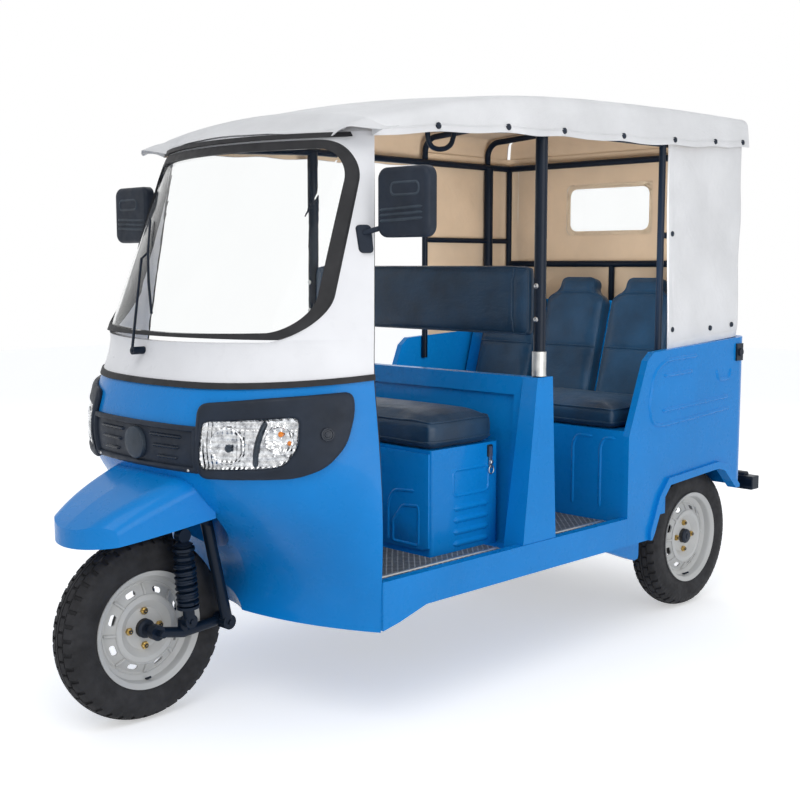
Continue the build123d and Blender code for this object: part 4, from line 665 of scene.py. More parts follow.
def canopy_outline(x):
    """Points (y, z) of the canopy's section at x from the left hem over to the right one."""
    side_steps, corner_steps, top_steps = 14, 8, 40
    half, hem, shoulder, crown = canopy_row(x)
    high = half - CANOPY_LEAN * (shoulder - hem)
    rise = crown - shoulder
    radius = (high * high + rise * rise) / (2 * rise)
    centre = crown - radius
    # left half, from the hem to the crown
    half_points = [
        (half + (high - half) * s / side_steps, hem + (shoulder - hem) * s / side_steps)
        for s in range(side_steps + 1)
    ]
    arc_end = math.asin(high / radius)
    for s in range(1, top_steps + 1):
        turn = arc_end * (1 - s / top_steps)
        half_points.append((radius * math.sin(turn), centre + radius * math.cos(turn)))
    corner = (high, shoulder)
    rounded = []
    start = end = None
    for y, z in half_points:
        near = math.hypot(y - corner[0], z - corner[1])
        if near < CANOPY_SHOULDER * 0.9:
            start = start or rounded[-1]
            continue
        if start and not end:
            end = (y, z)
            for s in range(1, corner_steps):
                t = s / corner_steps
                rounded.append(tuple(
                    (1 - t) ** 2 * start[i] + 2 * t * (1 - t) * corner[i] + t * t * end[i]
                    for i in (0, 1)
                ))
        rounded.append((y, z))
    return resampled(rounded, 60)


def resampled(points, count):
    """Polyline spread into count + 1 points at even distances."""
    lengths = [0.0]
    for a, b in zip(points, points[1:]):
        lengths.append(lengths[-1] + math.dist(a, b))
    result, k = [], 0
    for step in range(count + 1):
        goal = lengths[-1] * step / count
        while k < len(points) - 2 and lengths[k + 1] < goal:
            k += 1
        share = (goal - lengths[k]) / max(1e-9, lengths[k + 1] - lengths[k])
        result.append(tuple(a + (b - a) * share for a, b in zip(points[k], points[k + 1])))
    return result


def hoop_ridge(x):
    """1 over a hoop or the header, 0 midway between them."""
    stops = sorted((CANOPY_REAR, *HOOPS, CANOPY_FRONT))
    for a, b in zip(stops, stops[1:]):
        if a <= x <= b:
            share = (x - a) / (b - a)
            return 1 - math.sin(math.pi * share) ** 0.7
    return 1.0


def canopy_point(x, y, z, share, sign):
    """Point of the cloth's outer face; share runs from 0 at the hem to 1 at the crown."""
    flap = 1 - blend_between(share, 0.0, 0.14)
    wave = noise.noise(Vector((x * 7.0, sign * 3.1, 0.4)))
    nearest = min(abs(x - snap) for snap in SNAPS_X)
    scallop = 0.0055 * blend_between(nearest, 0.0, 0.13)
    top = blend_between(share, 0.2, 0.5)
    drop = sizes().roof_sag * (1 - hoop_ridge(x)) * top + 0.0018
    ripple = 0.0035 * noise.noise(Vector((x * 11, y * 5, 2.0))) * (1 - top) * (1 - flap)
    out = flap * (0.0045 * wave - 0.002)
    return Vector((x, sign * (y + out + ripple - 0.0015), z - drop - flap * scallop))


def skin(rows, thick, flip):
    """Points and faces of a sheet of even thickness, its outer face given by rows.

    Returned faces come in the order outer, inner, rim, with their counts."""
    outer, faces = grid(rows)
    count, width = len(outer), len(rows[0])
    height = len(rows)
    normals = []
    for r in range(height):
        for c in range(width):
            along = rows[min(r + 1, height - 1)][c] - rows[max(r - 1, 0)][c]
            across = rows[r][min(c + 1, width - 1)] - rows[r][max(c - 1, 0)]
            normals.append(along.cross(across).normalized() * flip)
    inner = [point - normal * thick for point, normal in zip(outer, normals)]
    back = [tuple(count + i for i in face[::-1]) for face in faces]
    edge = list(range(width)) + [r * width + width - 1 for r in range(1, height)]
    edge += [(height - 1) * width + c for c in range(width - 2, -1, -1)]
    edge += [r * width for r in range(height - 2, 0, -1)]
    rim = [(a, b, count + b, count + a) for a, b in zip(edge, edge[1:] + edge[:1])]
    return outer + inner, faces + back + rim, (len(faces), len(back), len(rim))


def cloth_piece(name, rows, thick, flip=1, inside="lining"):
    """Two-sided sheet with its own outer and inner finish."""
    points, faces, (front, back, rim) = skin(rows, thick, flip)
    mesh = bpy.data.meshes.new(name)
    mesh.from_pydata([tuple(point) for point in points], [], faces)
    obj = linked(name, mesh)
    for finish in ("canopy_cloth", inside):
        mesh.materials.append(FINISHES[finish])
    mesh.polygons.foreach_set("material_index", [0] * front + [1] * back + [0] * rim)
    mesh.shade_smooth()
    mesh.set_sharp_from_angle(angle=math.radians(60))
    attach(obj, "root")
    return obj


# Half of the front flap's lower edge, from the door post to the middle
FLAP_FOOT = (
    (0.674, 0.598, 1.652), (0.688, 0.584, 1.645), (0.706, 0.562, 1.643), (0.728, 0.535, 1.646),
    (0.750, 0.500, 1.652), (0.772, 0.450, 1.6575), (0.800, 0.320, 1.6590), (0.8085, 0.160, 1.6590),
    (0.8085, 0.0, 1.6590),
)


def build_front_flap(rows):
    """Cloth turned down from the canopy's front edge over the capping above the screen."""
    trees = [surface("roof_header"), surface("windshield_surround")]
    foot = [Vector(point) for point in FLAP_FOOT]
    foot += [Vector((x, -y, z)) for x, y, z in FLAP_FOOT[-2::-1]]
    edge, back = rows[0], rows[2]
    foot = [Vector(point) for point in resampled([tuple(point) for point in foot], len(edge) - 1)]
    lap = []
    for share in (0.0, 0.5):
        lap.append([
            behind.lerp(front, share) + Vector((0, 0, 0.0012))
            + Vector((0, front.y, 0)).normalized() * 0.0006
            for front, behind in zip(edge, back)
        ])
    steps, lift, bulge, snug = 16, 0.0040, 0.006, (0.40, 0.50)
    for step in range(steps + 1):
        share = step / steps
        row = []
        for front, low in zip(edge, foot):
            point = front.lerp(low, share) + Vector((0, 0, bulge * math.sin(math.pi * share)))
            found = min((tree.find_nearest(point) for tree in trees), key=lambda hit: hit[3])
            out = (point - found[0]).normalized()
            if out.dot(found[1]) < 0:
                out = found[1]
            laid = found[0] + out * lift
            hold = blend_between(share, 0.0, 0.35)
            if found[3] > lift or out is not found[1]:
                hold *= 1 - blend_between(abs(point.y), *snug)
            row.append(point.lerp(laid, hold))
        lap.append(row)
    return cloth_piece("canopy_front_flap", lap, 0.0016, inside="canopy_cloth")


def build_canopy():
    """Canopy sheet over the hoops with its rear flap, hems and fasteners."""
    size = sizes()
    roll = 0.018                  # radius of the cloth's turn at its rear edge
    stations = steps_between(CANOPY_FRONT, CANOPY_REAR + roll, 150)
    rows = []
    for x in stations:
        half = canopy_outline(x)
        count = len(half) - 1
        left = [canopy_point(x, y, z, i / count, 1) for i, (y, z) in enumerate(half)]
        right = [canopy_point(x, y, z, i / count, -1) for i, (y, z) in enumerate(half)]
        rows.append(left + right[-2::-1])
    last = rows[-1]
    middle = Vector((0, 0, 1.74))
    for step in range(1, 7):
        turn = math.pi / 2 * step / 6
        rows.append([
            Vector((CANOPY_REAR + roll - roll * math.sin(turn), point.y, point.z))
            + (middle - point).normalized() * roll * (1 - math.cos(turn))
            for point in last
        ])
    roof = cloth_piece("canopy_sheet", rows, size.cloth_thick)
    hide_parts("canopy_roof")
    section = canopy_outline(-0.4)
    rear = rows[-1]
    wall_rows = []
    for s in range(13):
        share = s / 12
        row = []
        for i in range(8, len(rear) - 8, 2):
            top = rear[i]
            foot_z = 1.727 + 0.003 * noise.noise(Vector((top.y * 9, 0, 0)))
            bulge = 0.003 * noise.noise(Vector((top.y * 6, share * 2, 5)))
            bulge *= math.sin(math.pi * share)
            row.append(Vector((
                CANOPY_REAR + 0.0006 - abs(bulge) * 0.2,
                top.y * (1 + 0.012 * share), top.z + (foot_z - top.z) * share,
            )))
        wall_rows.append(row)
    flap = cloth_piece("canopy_rear_flap", wall_rows, size.cloth_thick)
    for sign, name in HANDS:
        index = 0 if sign > 0 else -1
        line = [row[index] for row in rows[: len(stations)]]
        fold_rows = []
        for point in line[::2]:
            down = Vector((0, sign * 0.12, -1)).normalized()
            fold_rows.append([
                point + Vector((0, sign * 0.0012, 0)) - down * 0.022,
                point + Vector((0, sign * 0.0026, 0)) - down * 0.011,
                point + Vector((0, sign * 0.0016, 0)) + down * 0.001,
                point - Vector((0, sign * 0.0038, 0)) + down * 0.001,
            ])
        cloth_piece("canopy_hem_" + name, fold_rows, 0.0014, flip=-sign)
    build_front_flap(rows)
    stitches = []
    for sign in SIDES:
        index = 0 if sign > 0 else -1
        stitches.append([
            row[index] + Vector((0, sign * 0.0022, 0.019)) for row in rows[2: len(stations) - 2: 2]
        ])
    wire("canopy_stitching", stitches, 0.0009, "canopy_cloth")
    for number, x in enumerate(SNAPS_X):
        half = canopy_outline(x)
        for sign, name in HANDS:
            y, z = half[0]
            point = canopy_point(x, y, z, 0, sign) + Vector((0, 0, 0.015))
            point += Vector((0, sign * 0.002, 0))
            snap(f"canopy_snap_{name}_{number}", point, (0, sign, 0.1))


def snap(name, place, axis):
    """Black press fastener with a domed cap."""
    radius = sizes().snap_radius
    profile = (
        (-0.003, radius * 0.98), (0.0008, radius), (0.0022, radius * 0.93), (0.0026, radius * 0.62),
        (0.0040, radius * 0.5), (0.0052, radius * 0.3), (0.0055, 0.0),
    )
    return lathe(name, profile, place, axis, "black_plastic", steps=24, sharp=50)


CURTAIN_Y = 0.5785
CURTAIN_X = -1.1865
CURTAIN_CORNER = 0.060
CURTAIN_END = 0.520


def curtain_front(z):
    """x of the side curtain's front edge at a height."""
    return -0.655 - 0.022 * blend_between(1.560 - z, 0.0, 0.562)


def curtain_path(distance, front):
    """Plan point and outward normal at a distance along the left curtain from its front edge."""
    straight = front - (CURTAIN_X + CURTAIN_CORNER)
    if distance <= straight:
        return Vector((front - distance, CURTAIN_Y, 0)), Vector((0, 1, 0))
    turn = (distance - straight) / CURTAIN_CORNER
    centre = Vector((CURTAIN_X + CURTAIN_CORNER, CURTAIN_Y - CURTAIN_CORNER, 0))
    turn = min(turn, math.pi / 2)
    out = Vector((-math.sin(turn), math.cos(turn), 0))
    return centre + out * CURTAIN_CORNER, out


def build_side_curtain(sign, name):
    """Side curtain with slanting folds, from the door post round the rear corner."""
    size = sizes()
    rows = []
    low, high = 0.994, 1.742
    for r in range(91):
        level = r / 90
        row = []
        front = curtain_front(low + (high - low) * level)
        total = front - (CURTAIN_X + CURTAIN_CORNER) + CURTAIN_CORNER * math.pi / 2
        for c in range(81):
            along = c / 80
            distance = total * along
            base = low + 0.030 * along
            z = base + (high - base) * level
            place, out = curtain_path(distance, front)
            slant = distance * 9.0 + z * 6.5
            stray = noise.noise(Vector((distance * 3, z * 2, 1)))
            fold = 0.5 + 0.5 * math.sin(slant * 2.4 + 1.8 * stray)
            soft = noise.noise(Vector((distance * 5, z * 3.5, 7.0)))
            calm = blend_between(level, 0.0, 0.06) * blend_between(1 - level, 0.03, 0.22)
            calm *= blend_between(along, 0.0, 0.05)
            depth = size.fold_depth * calm * (0.75 * fold + 0.45 * max(0.0, soft))
            point = place + out * depth + Vector((0, 0, z))
            row.append(Vector((point.x, sign * point.y, point.z)))
        rows.append(row)
    obj = cloth_piece("side_curtain_" + name, rows, size.cloth_thick, flip=-sign)
    edge_rows = []
    for row in rows:
        start = row[0]
        edge_rows.append([
            start + Vector((0.0015, sign * -0.0028, 0)), start + Vector((0.0015, sign * 0.0022, 0)),
            start + Vector((-0.012, sign * 0.0026, 0)), start + Vector((-0.026, sign * 0.0018, 0)),
        ])
    tape = {"thick": 0.0012, "inside": "canopy_cloth"}
    edge = cloth_piece("side_curtain_edge_" + name, edge_rows, flip=sign, **tape)
    foot_rows = [
        [point + Vector((0, sign * 0.0018, 0.0)), point + Vector((0, sign * 0.0024, 0.012)),
         point + Vector((0, sign * 0.0016, 0.024))]
        for point in rows[0][:66]
    ]
    foot = cloth_piece("side_curtain_foot_" + name, foot_rows, flip=-sign, **tape)
    for number, (r, c) in enumerate(((86, 3), (48, 3), (8, 3), (6, 40), (6, 62))):
        point = rows[r][c] + Vector((0, sign * 0.0032, 0))
        snap(f"curtain_snap_{name}_{number}", point, (0, sign, 0))
    return obj


WINDOW = (-0.040, 0.212, 1.408, 1.618)


def build_rear_curtain():
    """Rear curtain with a clear window in a stitched frame."""
    size = sizes()
    half, low, high = CURTAIN_END, 1.026, 1.742
    window_y, window_half, window_low, window_high = WINDOW

    def depth(y, z):
        """Outward offset of the cloth."""
        calm = blend_between(z - low, 0.0, 0.05) * blend_between(high - z, 0.0, 0.06)
        edge = max(abs(y - window_y) - window_half, window_low - z, z - window_high)
        calm *= blend_between(edge, 0.0, 0.05)
        fold = 0.5 + 0.5 * math.sin(y * 21 + 2.2 * noise.noise(Vector((y * 3, z * 2, 3))))
        return size.fold_depth * 0.5 * calm * fold

    def place(y, z):
        """Point of the cloth's outer face."""
        return Vector((CURTAIN_X - depth(y, z), y, z))

    count = 192
    outer_corners = ((-half, low), (half, low), (half, high), (-half, high))
    inner_corners = (
        (window_y - window_half, window_low), (window_y + window_half, window_low),
        (window_y + window_half, window_high), (window_y - window_half, window_high),
    )
    corner, middle = 0.035, 1.513

    def run(corners, radius, number):
        """Closed outline spread into a number of even steps."""
        outline = arc_points(corners, radius)
        return resampled(outline + outline[:1], number)[:-1]

    outer, inner = run(outer_corners, 0.0005, count), run(inner_corners, corner, count)
    rows = []
    for s in range(19):
        share = s / 18
        rows.append([
            place(a[0] + (b[0] - a[0]) * share, a[1] + (b[1] - a[1]) * share)
            for a, b in zip(outer + outer[:1], inner + inner[:1])
        ])
    obj = cloth_piece("rear_curtain_sheet", rows, size.cloth_thick)
    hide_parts("rear_curtain")
    rings = []
    for grow, lift in (
        (0.003, 0.0), (0.003, 0.0012), (0.0, 0.0028), (-0.016, 0.0028), (-0.018, 0.0008),
    ):
        ring = []
        for y, z in run(inner_corners, corner, 120):
            off, rise = y - window_y, z - middle
            if abs(off) > window_half - 0.034:
                y += grow * (1 if off > 0 else -1)
            if abs(rise) > (window_high - window_low) / 2 - 0.034:
                z += grow * (1 if rise > 0 else -1)
            ring.append(Vector((CURTAIN_X - lift, y, z)))
        rings.append(ring)
    border = ringed_piece("rear_window_border", rings, "lining", slot="canopy_cloth")


# ---------------------------------------------------------------- cushions
def rounded_block(name, corners, radius, crown=0.0):
    """Block between two corners with soft edges; crown lifts the middle of its top."""
    (x0, y0, z0), (x1, y1, z1) = corners
    work = bmesh.new()
    bmesh.ops.create_cube(work, size=1.0)
    bmesh.ops.subdivide_edges(work, edges=work.edges[:], cuts=9, use_grid_fill=True)
    half = Vector(((x1 - x0) / 2, (y1 - y0) / 2, (z1 - z0) / 2))
    centre = Vector(((x0 + x1) / 2, (y0 + y1) / 2, (z0 + z1) / 2))
    for vertex in work.verts:
        unit = vertex.co * 2
        point = Vector((unit.x * half.x, unit.y * half.y, unit.z * half.z))
        core = Vector([
            max(-(half[i] - radius), min(half[i] - radius, point[i])) for i in range(3)
        ])
        off = point - core
        if off.length > 1e-9:
            reach = min(radius, off.length)
            point = core + off.normalized() * reach
        lift = crown * (1 - unit.x**2) * (1 - unit.y**4) if unit.z > 0.5 else 0.0
        vertex.co = centre + point + Vector((0, 0, lift))
    mesh = bpy.data.meshes.new(name)
    work.to_mesh(mesh)
    work.free()
    obj = linked(name, mesh)
    mesh.materials.append(FINISHES["seat_vinyl"])
    return obj


def only(obj):
    """Select and activate one object."""
    bpy.ops.object.select_all(action="DESELECT")
    obj.select_set(True)
    bpy.context.view_layer.objects.active = obj


def swell(obj, voxel, limit):
    """Cushion blown up a little as cloth, each point held within limit of where it was."""
    only(obj)
    remesh = obj.modifiers.new("remesh", "REMESH")
    remesh.mode = "VOXEL"
    remesh.voxel_size = voxel
    bpy.ops.object.modifier_apply(modifier=remesh.name)
    start = [vertex.co.copy() for vertex in obj.data.vertices]
    sim = obj.modifiers.new("cloth", "CLOTH")
    sim.settings.use_pressure = True
    sim.settings.uniform_pressure_force = 4.0
    sim.settings.effector_weights.gravity = 0
    sim.settings.quality = 4
    sim.settings.mass = 0.3
    sim.settings.tension_stiffness = 12
    sim.settings.compression_stiffness = 12
    sim.point_cache.frame_start = 1
    sim.point_cache.frame_end = 20
    for number in range(1, 21):
        bpy.context.scene.frame_set(number)
    bpy.ops.object.modifier_apply(modifier=sim.name)
    bpy.context.scene.frame_set(1)
    for vertex, origin in zip(obj.data.vertices, start):
        move = vertex.co - origin
        if move.length > limit:
            vertex.co = origin + move * (limit / move.length)
    smooth = obj.modifiers.new("smooth", "SMOOTH")
    smooth.iterations = 3
    bpy.ops.object.modifier_apply(modifier=smooth.name)
    return obj


def finish_pad(obj, body, node):
    """Cushion smoothed and bound to a body, the frame node it stands for hidden."""
    only(obj)
    modifier = obj.modifiers.new("subdivision", "SUBSURF")
    modifier.levels = modifier.render_levels = 1
    bpy.ops.object.modifier_apply(modifier=modifier.name)
    obj.data.shade_smooth()
    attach(obj, body)
    if node:
        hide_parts(node)
    return obj


def on_mesh(obj, points, lift):
    """Points moved onto an object's nearest surface, then out by lift."""
    tree = search_tree(obj.data)
    found = [tree.find_nearest(Vector(point)) for point in points]
    return [place + normal * lift for place, normal, _, _ in found]


def groove(obj, lines, width, depth):
    """Sewn channels: points near the lines are drawn in along their normals."""
    mesh = obj.data
    lines = [[Vector(point) for point in line] for line in lines]
    normals = [vertex.normal.copy() for vertex in mesh.vertices]
    for vertex, normal in zip(mesh.vertices, normals):
        near = min(distance_to_run(vertex.co, line, width * 2.5) for line in lines)
        if near < width * 2.5:
            vertex.co -= normal * depth * math.exp(-((near / width) ** 2))
    mesh.update()


def distance_to_run(point, line, far):
    """Distance of a point from a run of points, or far if it is plainly further."""
    best = far
    for a, b in zip(line, line[1:]):
        span = b - a
        share = max(0.0, min(1.0, (point - a).dot(span) / max(1e-12, span.length_squared)))
        best = min(best, (point - (a + span * share)).length)
    return best


def loop_points(x0, x1, y0, y1, z, radius, count):
    """Rounded rectangle in a level plane."""
    outline = arc_points(((x0, y0), (x1, y0), (x1, y1), (x0, y1)), radius, 8)
    return [Vector((u, v, z)) for u, v in resampled(outline + outline[:1], count)]


def build_cushions():
    """All seat cushions and backrests, swollen, sewn and piped."""
    size = sizes()
    swell_by = size.pad_swell
    box = (0.088, -0.452, 0.7365), (0.394, 0.452, 0.826)
    seat = rounded_block("driver_seat_pad", box, 0.026, 0.012)
    swell(seat, size.voxel, swell_by)
    flatten(seat, 2, 0.7355)
    front_seam = [[Vector((0.4, y / 100, 0.752)) for y in range(-46, 47, 2)]]
    groove(seat, front_seam, 0.006, 0.004)
    finish_pad(seat, "seat_lid", "driver_cushion")
    top = on_mesh(seat, loop_points(0.100, 0.385, -0.445, 0.445, 0.828, 0.035, 160), 0.0015)
    foot = on_mesh(seat, loop_points(0.088, 0.396, -0.456, 0.456, 0.752, 0.03, 160), 0.0008)
    wire("driver_seat_piping", [top, foot], 0.0032, "seat_vinyl", "seat_lid")

    box = (-0.034, -0.510, 1.060), (0.012, 0.510, 1.291)
    board = rounded_block("driver_back_pad", box, 0.018)
    swell(board, size.voxel, 0.006)
    seam_y = 0.445
    seams = [
        [Vector((0.016, side * seam_y, z)) for z in (1.06, 1.12, 1.2, 1.29)] for side in SIDES
    ]
    groove(board, seams, 0.006, 0.005)
    finish_pad(board, "root", "driver_backrest")
    rim = arc_points(((-0.505, 1.064), (0.505, 1.064), (0.505, 1.287), (-0.505, 1.287)), 0.03, 8)
    rim = [Vector((0.014, u, v)) for u, v in resampled(rim + rim[:1], 160)]
    heights = [1.064 + 0.223 * k / 24 for k in range(25)]
    seam_lines = [
        on_mesh(board, [Vector((0.03, side * seam_y, z)) for z in heights], 0.0006)
        for side in SIDES
    ]
    wire("driver_back_piping", [on_mesh(board, rim, 0.001), *seam_lines], 0.0024, "seat_vinyl")

    box = (-0.786, -0.538, 0.7297), (-0.414, 0.538, 0.803)
    bench = rounded_block("rear_seat_pad", box, 0.024, 0.012)
    swell(bench, size.voxel, swell_by)
    flatten(bench, 2, 0.7288)
    finish_pad(bench, "root", "rear_cushion")
    top = on_mesh(bench, loop_points(-0.776, -0.424, -0.530, 0.530, 0.806, 0.035, 170), 0.0015)
    foot = on_mesh(bench, loop_points(-0.790, -0.412, -0.542, 0.542, 0.744, 0.03, 170), 0.0008)
    wire("rear_seat_piping", [top, foot], 0.0032, "seat_vinyl")

    for number, middle in enumerate((-0.310, 0.0, 0.310)):
        pad = back_pad(f"rear_back_pad_{number}", middle)
        swell(pad, size.voxel * 0.75, swell_by * 0.8)
        across = [
            [back_place(middle, u, 0.235, 0.01) for u in steps_between(-0.146, 0.146, 12)],
            [back_place(middle, u, 0.452, 0.01) for u in steps_between(-0.12, 0.12, 12)],
        ]
        groove(pad, across, 0.007, 0.007)
        finish_pad(pad, "root", "rear_backrests" if number == 0 else None)
        rim = [back_place(middle, u * 0.985, v, 0.004) for u, v in back_outline(0.003)]
        seams = [on_mesh(pad, run, 0.0008) for run in across]
        wire(
            f"rear_back_piping_{number}", [on_mesh(pad, rim + rim[:1], 0.001), *seams], 0.0028,
            "seat_vinyl",
        )


def steps_between(low, high, count):
    """Even steps from low to high."""
    return [low + (high - low) * k / count for k in range(count + 1)]


def flatten(obj, axis, level):
    """Points below a level lifted to it, as where a cushion rests."""
    for vertex in obj.data.vertices:
        if vertex.co[axis] < level:
            vertex.co[axis] = level


RECLINE = math.radians(15.5)
BACK_FOOT = Vector((-0.795, 0, 0.746))


def back_place(middle, across, along, depth):
    """Point on a reclined backrest: along its face from the foot, depth in front of it."""
    up = Vector((-math.sin(RECLINE), 0, math.cos(RECLINE)))
    front = Vector((math.cos(RECLINE), 0, math.sin(RECLINE)))
    return BACK_FOOT + Vector((0, middle + across, 0)) + up * along + front * depth


def back_outline(inset):
    """Outline of one backrest with its headrest: (across, along) points."""
    half, head, shoulder, top = 0.152 - inset, 0.092 - inset, 0.455, 0.528 - inset
    right = [(half, inset), (half, shoulder - 0.03)]
    right += [
        (half - 0.018 * t, shoulder - 0.03 + 0.022 * t) for t in (0.4, 0.8)
    ]
    curve = []
    for k in range(1, 9):
        t = k / 9
        curve.append((
            (1 - t) ** 2 * (half - 0.02) + 2 * t * (1 - t) * (head + 0.004) + t * t * head,
            (1 - t) ** 2 * (shoulder - 0.006) + 2 * t * (1 - t) * (shoulder + 0.002)
            + t * t * (shoulder + 0.034),
        ))
    cap = [(head, shoulder + 0.045)]
    for k in range(1, 7):
        turn = math.pi / 2 * k / 6
        cap.append((head - 0.03 * (1 - math.cos(turn)), top - 0.03 + 0.03 * math.sin(turn)))
    one_side = right + curve + cap
    return one_side + [(-u, v) for u, v in one_side[::-1]]


def back_pad(name, middle):
    """Solid of one rear backrest with rounded edges, before swelling."""
    layers = (
        (-0.060, 0.016), (-0.057, 0.007), (-0.048, 0.004), (-0.018, 0.004), (-0.008, 0.007),
        (-0.003, 0.018),
    )
    rings = [
        [back_place(middle, u, v, depth) for u, v in back_outline(inset)] for depth, inset in layers
    ]
    return ringed_piece(name, rings, "seat_vinyl", closed_ends=True)


# ---------------------------------------------------------------- wheels
# Wheel: name, body, centre, side of its face
WHEELS = (
    ("front", "front_wheel", (1.120, 0.0, 0.264), 1),
    ("rear_left", "rear_wheel_left", (-0.980, 0.455, 0.264), 1),
    ("rear_right", "rear_wheel_right", (-0.980, -0.455, 0.264), -1),
)
TYRE_R = 0.264
# Half section of the tyre from bead to tread edge: distance from the middle plane, radius
TYRE_SIDE = (
    (0.0430, 0.1590), (0.0462, 0.1640), (0.0480, 0.1715), (0.0472, 0.1765), (0.0488, 0.1800),
    (0.0520, 0.1930), (0.0540, 0.2050), (0.0546, 0.2150), (0.0538, 0.2250), (0.0516, 0.2330),
    (0.0500, 0.2375), (0.0480, 0.2425), (0.0465, 0.2465),
)
TREAD_PITCHES = 40
# Stations within one pitch, and those in a shoulder groove of either side
TREAD_PARTS = (0.0, 0.08, 0.14, 0.35, 0.37, 0.41, 0.43, 0.59, 0.61, 0.63, 0.65, 0.86, 0.92)
GROOVES_INNER = (0.35, 0.37, 0.41, 0.43, 0.86, 0.92)
GROOVES_OUTER = (0.0, 0.08, 0.59, 0.61, 0.63)
SHOULDER_GROOVE = 0.0016
# Stations across the tread, as shares of its half width
TREAD_ACROSS = [-1.0, -0.86, -0.70, -0.61, -0.59, -0.53, -0.51, -0.34, -0.17, -0.15, -0.10, -0.08]
TREAD_ACROSS += [-value for value in TREAD_ACROSS[::-1]]


def tread_height(share, pitch_share):
    """Height of the tread, 0 in a groove and 1 on a block; share runs -1..1 across it."""
    edge = abs(share)
    shift = 0.0 if share > 0 else 0.5
    along = (pitch_share + shift) % 1.0
    if edge > 0.60:
        return 0.0 if 0.36 < along < 0.64 else 1.0
    if 0.52 < edge <= 0.60:
        return 0.0
    if edge > 0.16:
        along = (pitch_share + shift + 0.5) % 1.0
        return 0.0 if 0.42 < along < 0.60 else 1.0
    if edge > 0.09:
        return 0.0
    return 1.0


def worn_side(parts, part, rows, first):
    """Rows of the tyre's side with three of them drawn in beside a shoulder groove."""
    depth = SHOULDER_GROOVE if part in parts else 0.0
    return [(y, r - depth if first <= k < first + 3 else r) for k, (y, r) in enumerate(rows)]


def build_tyre(name, body, centre):
    """Tyre with a block tread, shoulder ribs and bead rings."""
    depth = sizes().tread_depth
    half_width, drop = 0.0435, 0.013
    rings = []
    for pitch in range(TREAD_PITCHES):
        for part in TREAD_PARTS:
            turn = 2 * math.pi * (pitch + part) / TREAD_PITCHES
            run = worn_side(GROOVES_INNER, part, [(-y, r) for y, r in TYRE_SIDE], 10)
            for share in TREAD_ACROSS:
                radius = TYRE_R - drop * abs(share) ** 2.2
                run.append((half_width * share, radius - depth * (1 - tread_height(share, part))))
            run += worn_side(GROOVES_OUTER, part, TYRE_SIDE[::-1], 0)
            rings.append([
                Vector((
                    centre[0] + r * math.cos(turn), centre[1] + y, centre[2] + r * math.sin(turn),
                )) for y, r in run
            ])
    rings.append(rings[0])
    obj = piece(name + "_tyre_tread", *grid(rings), "tyre_rubber", body, sharp=38)
    mend(obj, WELD)
    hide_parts(name + "_tyre")


def build_wheel_fittings(name, body, centre, side):
    """Brass wheel nuts with washers, hub cap, valve, rings and ribs of one wheel."""
    centre = Vector(centre)

    def at(turn, radius, out):
        """Point on the wheel's face."""
        return centre + Vector((radius * math.cos(turn), side * out, radius * math.sin(turn)))

    nut = (
        (-0.008, 0.0112), (-0.004, 0.0112), (0.0004, 0.0106), (0.0010, 0.0070),
        (0.0052, 0.0064), (0.0056, 0.0),
    )
    parts = [
        lathe(
            f"{name}_nut_{k}", nut, at(math.pi / 2 * k, 0.05, 0.0265), (0, side, 0), "brass",
            body, steps=6, sharp=20,
        )
        for k in range(4)
    ]
    join(name + "_wheel_nuts", parts)
    cap = (
        (0.0302, 0.0272), (0.0340, 0.0262), (0.0375, 0.0215), (0.0385, 0.0205), (0.0388, 0.0105),
        (0.0415, 0.0095), (0.0420, 0.0),
    )
    lathe(name + "_hub_cap", cap, centre, (0, side, 0), "black_plastic", body, steps=36)
    start = centre + Vector((0, side * 0.020, -0.150))
    bends = (0, 0), (0.010, 0.004), (0.026, 0.012)
    stem = [start + Vector((0, side * out, up)) for out, up in bends]
    wire(name + "_valve", [stem], 0.0035, "black_plastic", body)
    turns = [2 * math.pi * k / 96 for k in range(97)]
    rings = [
        [at(turn, radius, out) for turn in turns]
        for radius, out in ((0.0655, 0.0185), (0.0985, 0.0332), (0.134, 0.0142))
    ]
    wire(name + "_disc_rings", rings, 0.0016, "silver_paint", body)
    ridge = (0.100, 0.0315), (0.114, 0.0245), (0.128, 0.0150)
    ribs = [[at(2 * math.pi * k / 8, *place) for place in ridge] for k in range(8)]
    wire(name + "_disc_ribs", ribs, 0.0046, "silver_paint", body)


# ---------------------------------------------------------------- nose, lamps and mirrors
NOSE_AXIS = 0.60
NOSE_REACH = 0.50
# Corners on the nose: direction from the upright axis in degrees, height
BEZEL = (
    (27.0, 0.9170), (48.0, 0.9375), (70.3, 0.9530), (70.4, 0.9000), (67.6, 0.8120), (62.2, 0.7550),
    (55.0, 0.7300), (27.2, 0.7205),
)
LENS = (
    (28.9, 0.8720), (55.7, 0.8890), (55.2, 0.8100), (51.8, 0.7640), (46.0, 0.7550), (27.9, 0.7460),
)
PANEL = ((-27.5, 0.8580), (27.5, 0.8580), (27.5, 0.7330), (-27.5, 0.7330))


def nose_at(tree, degrees, z, lift=0.0):
    """Place and outward normal on the nose in a direction from its upright axis."""
    turn = math.radians(degrees)
    way = Vector((math.cos(turn), math.sin(turn), 0))
    foot = Vector((NOSE_AXIS, 0, z))
    place, normal = hit(tree, foot + way * 2, -way, foot + way * 0.45)
    return place + normal * lift, normal


def nose_outline(corners, radius, count=140):
    """Rounded outline on the nose from its corners, as (length round the nose, height)."""
    flat = [(math.radians(turn) * NOSE_REACH, z) for turn, z in corners]
    outline = arc_points(flat, radius, 8)
    return resampled(outline + outline[:1], count)[:-1]


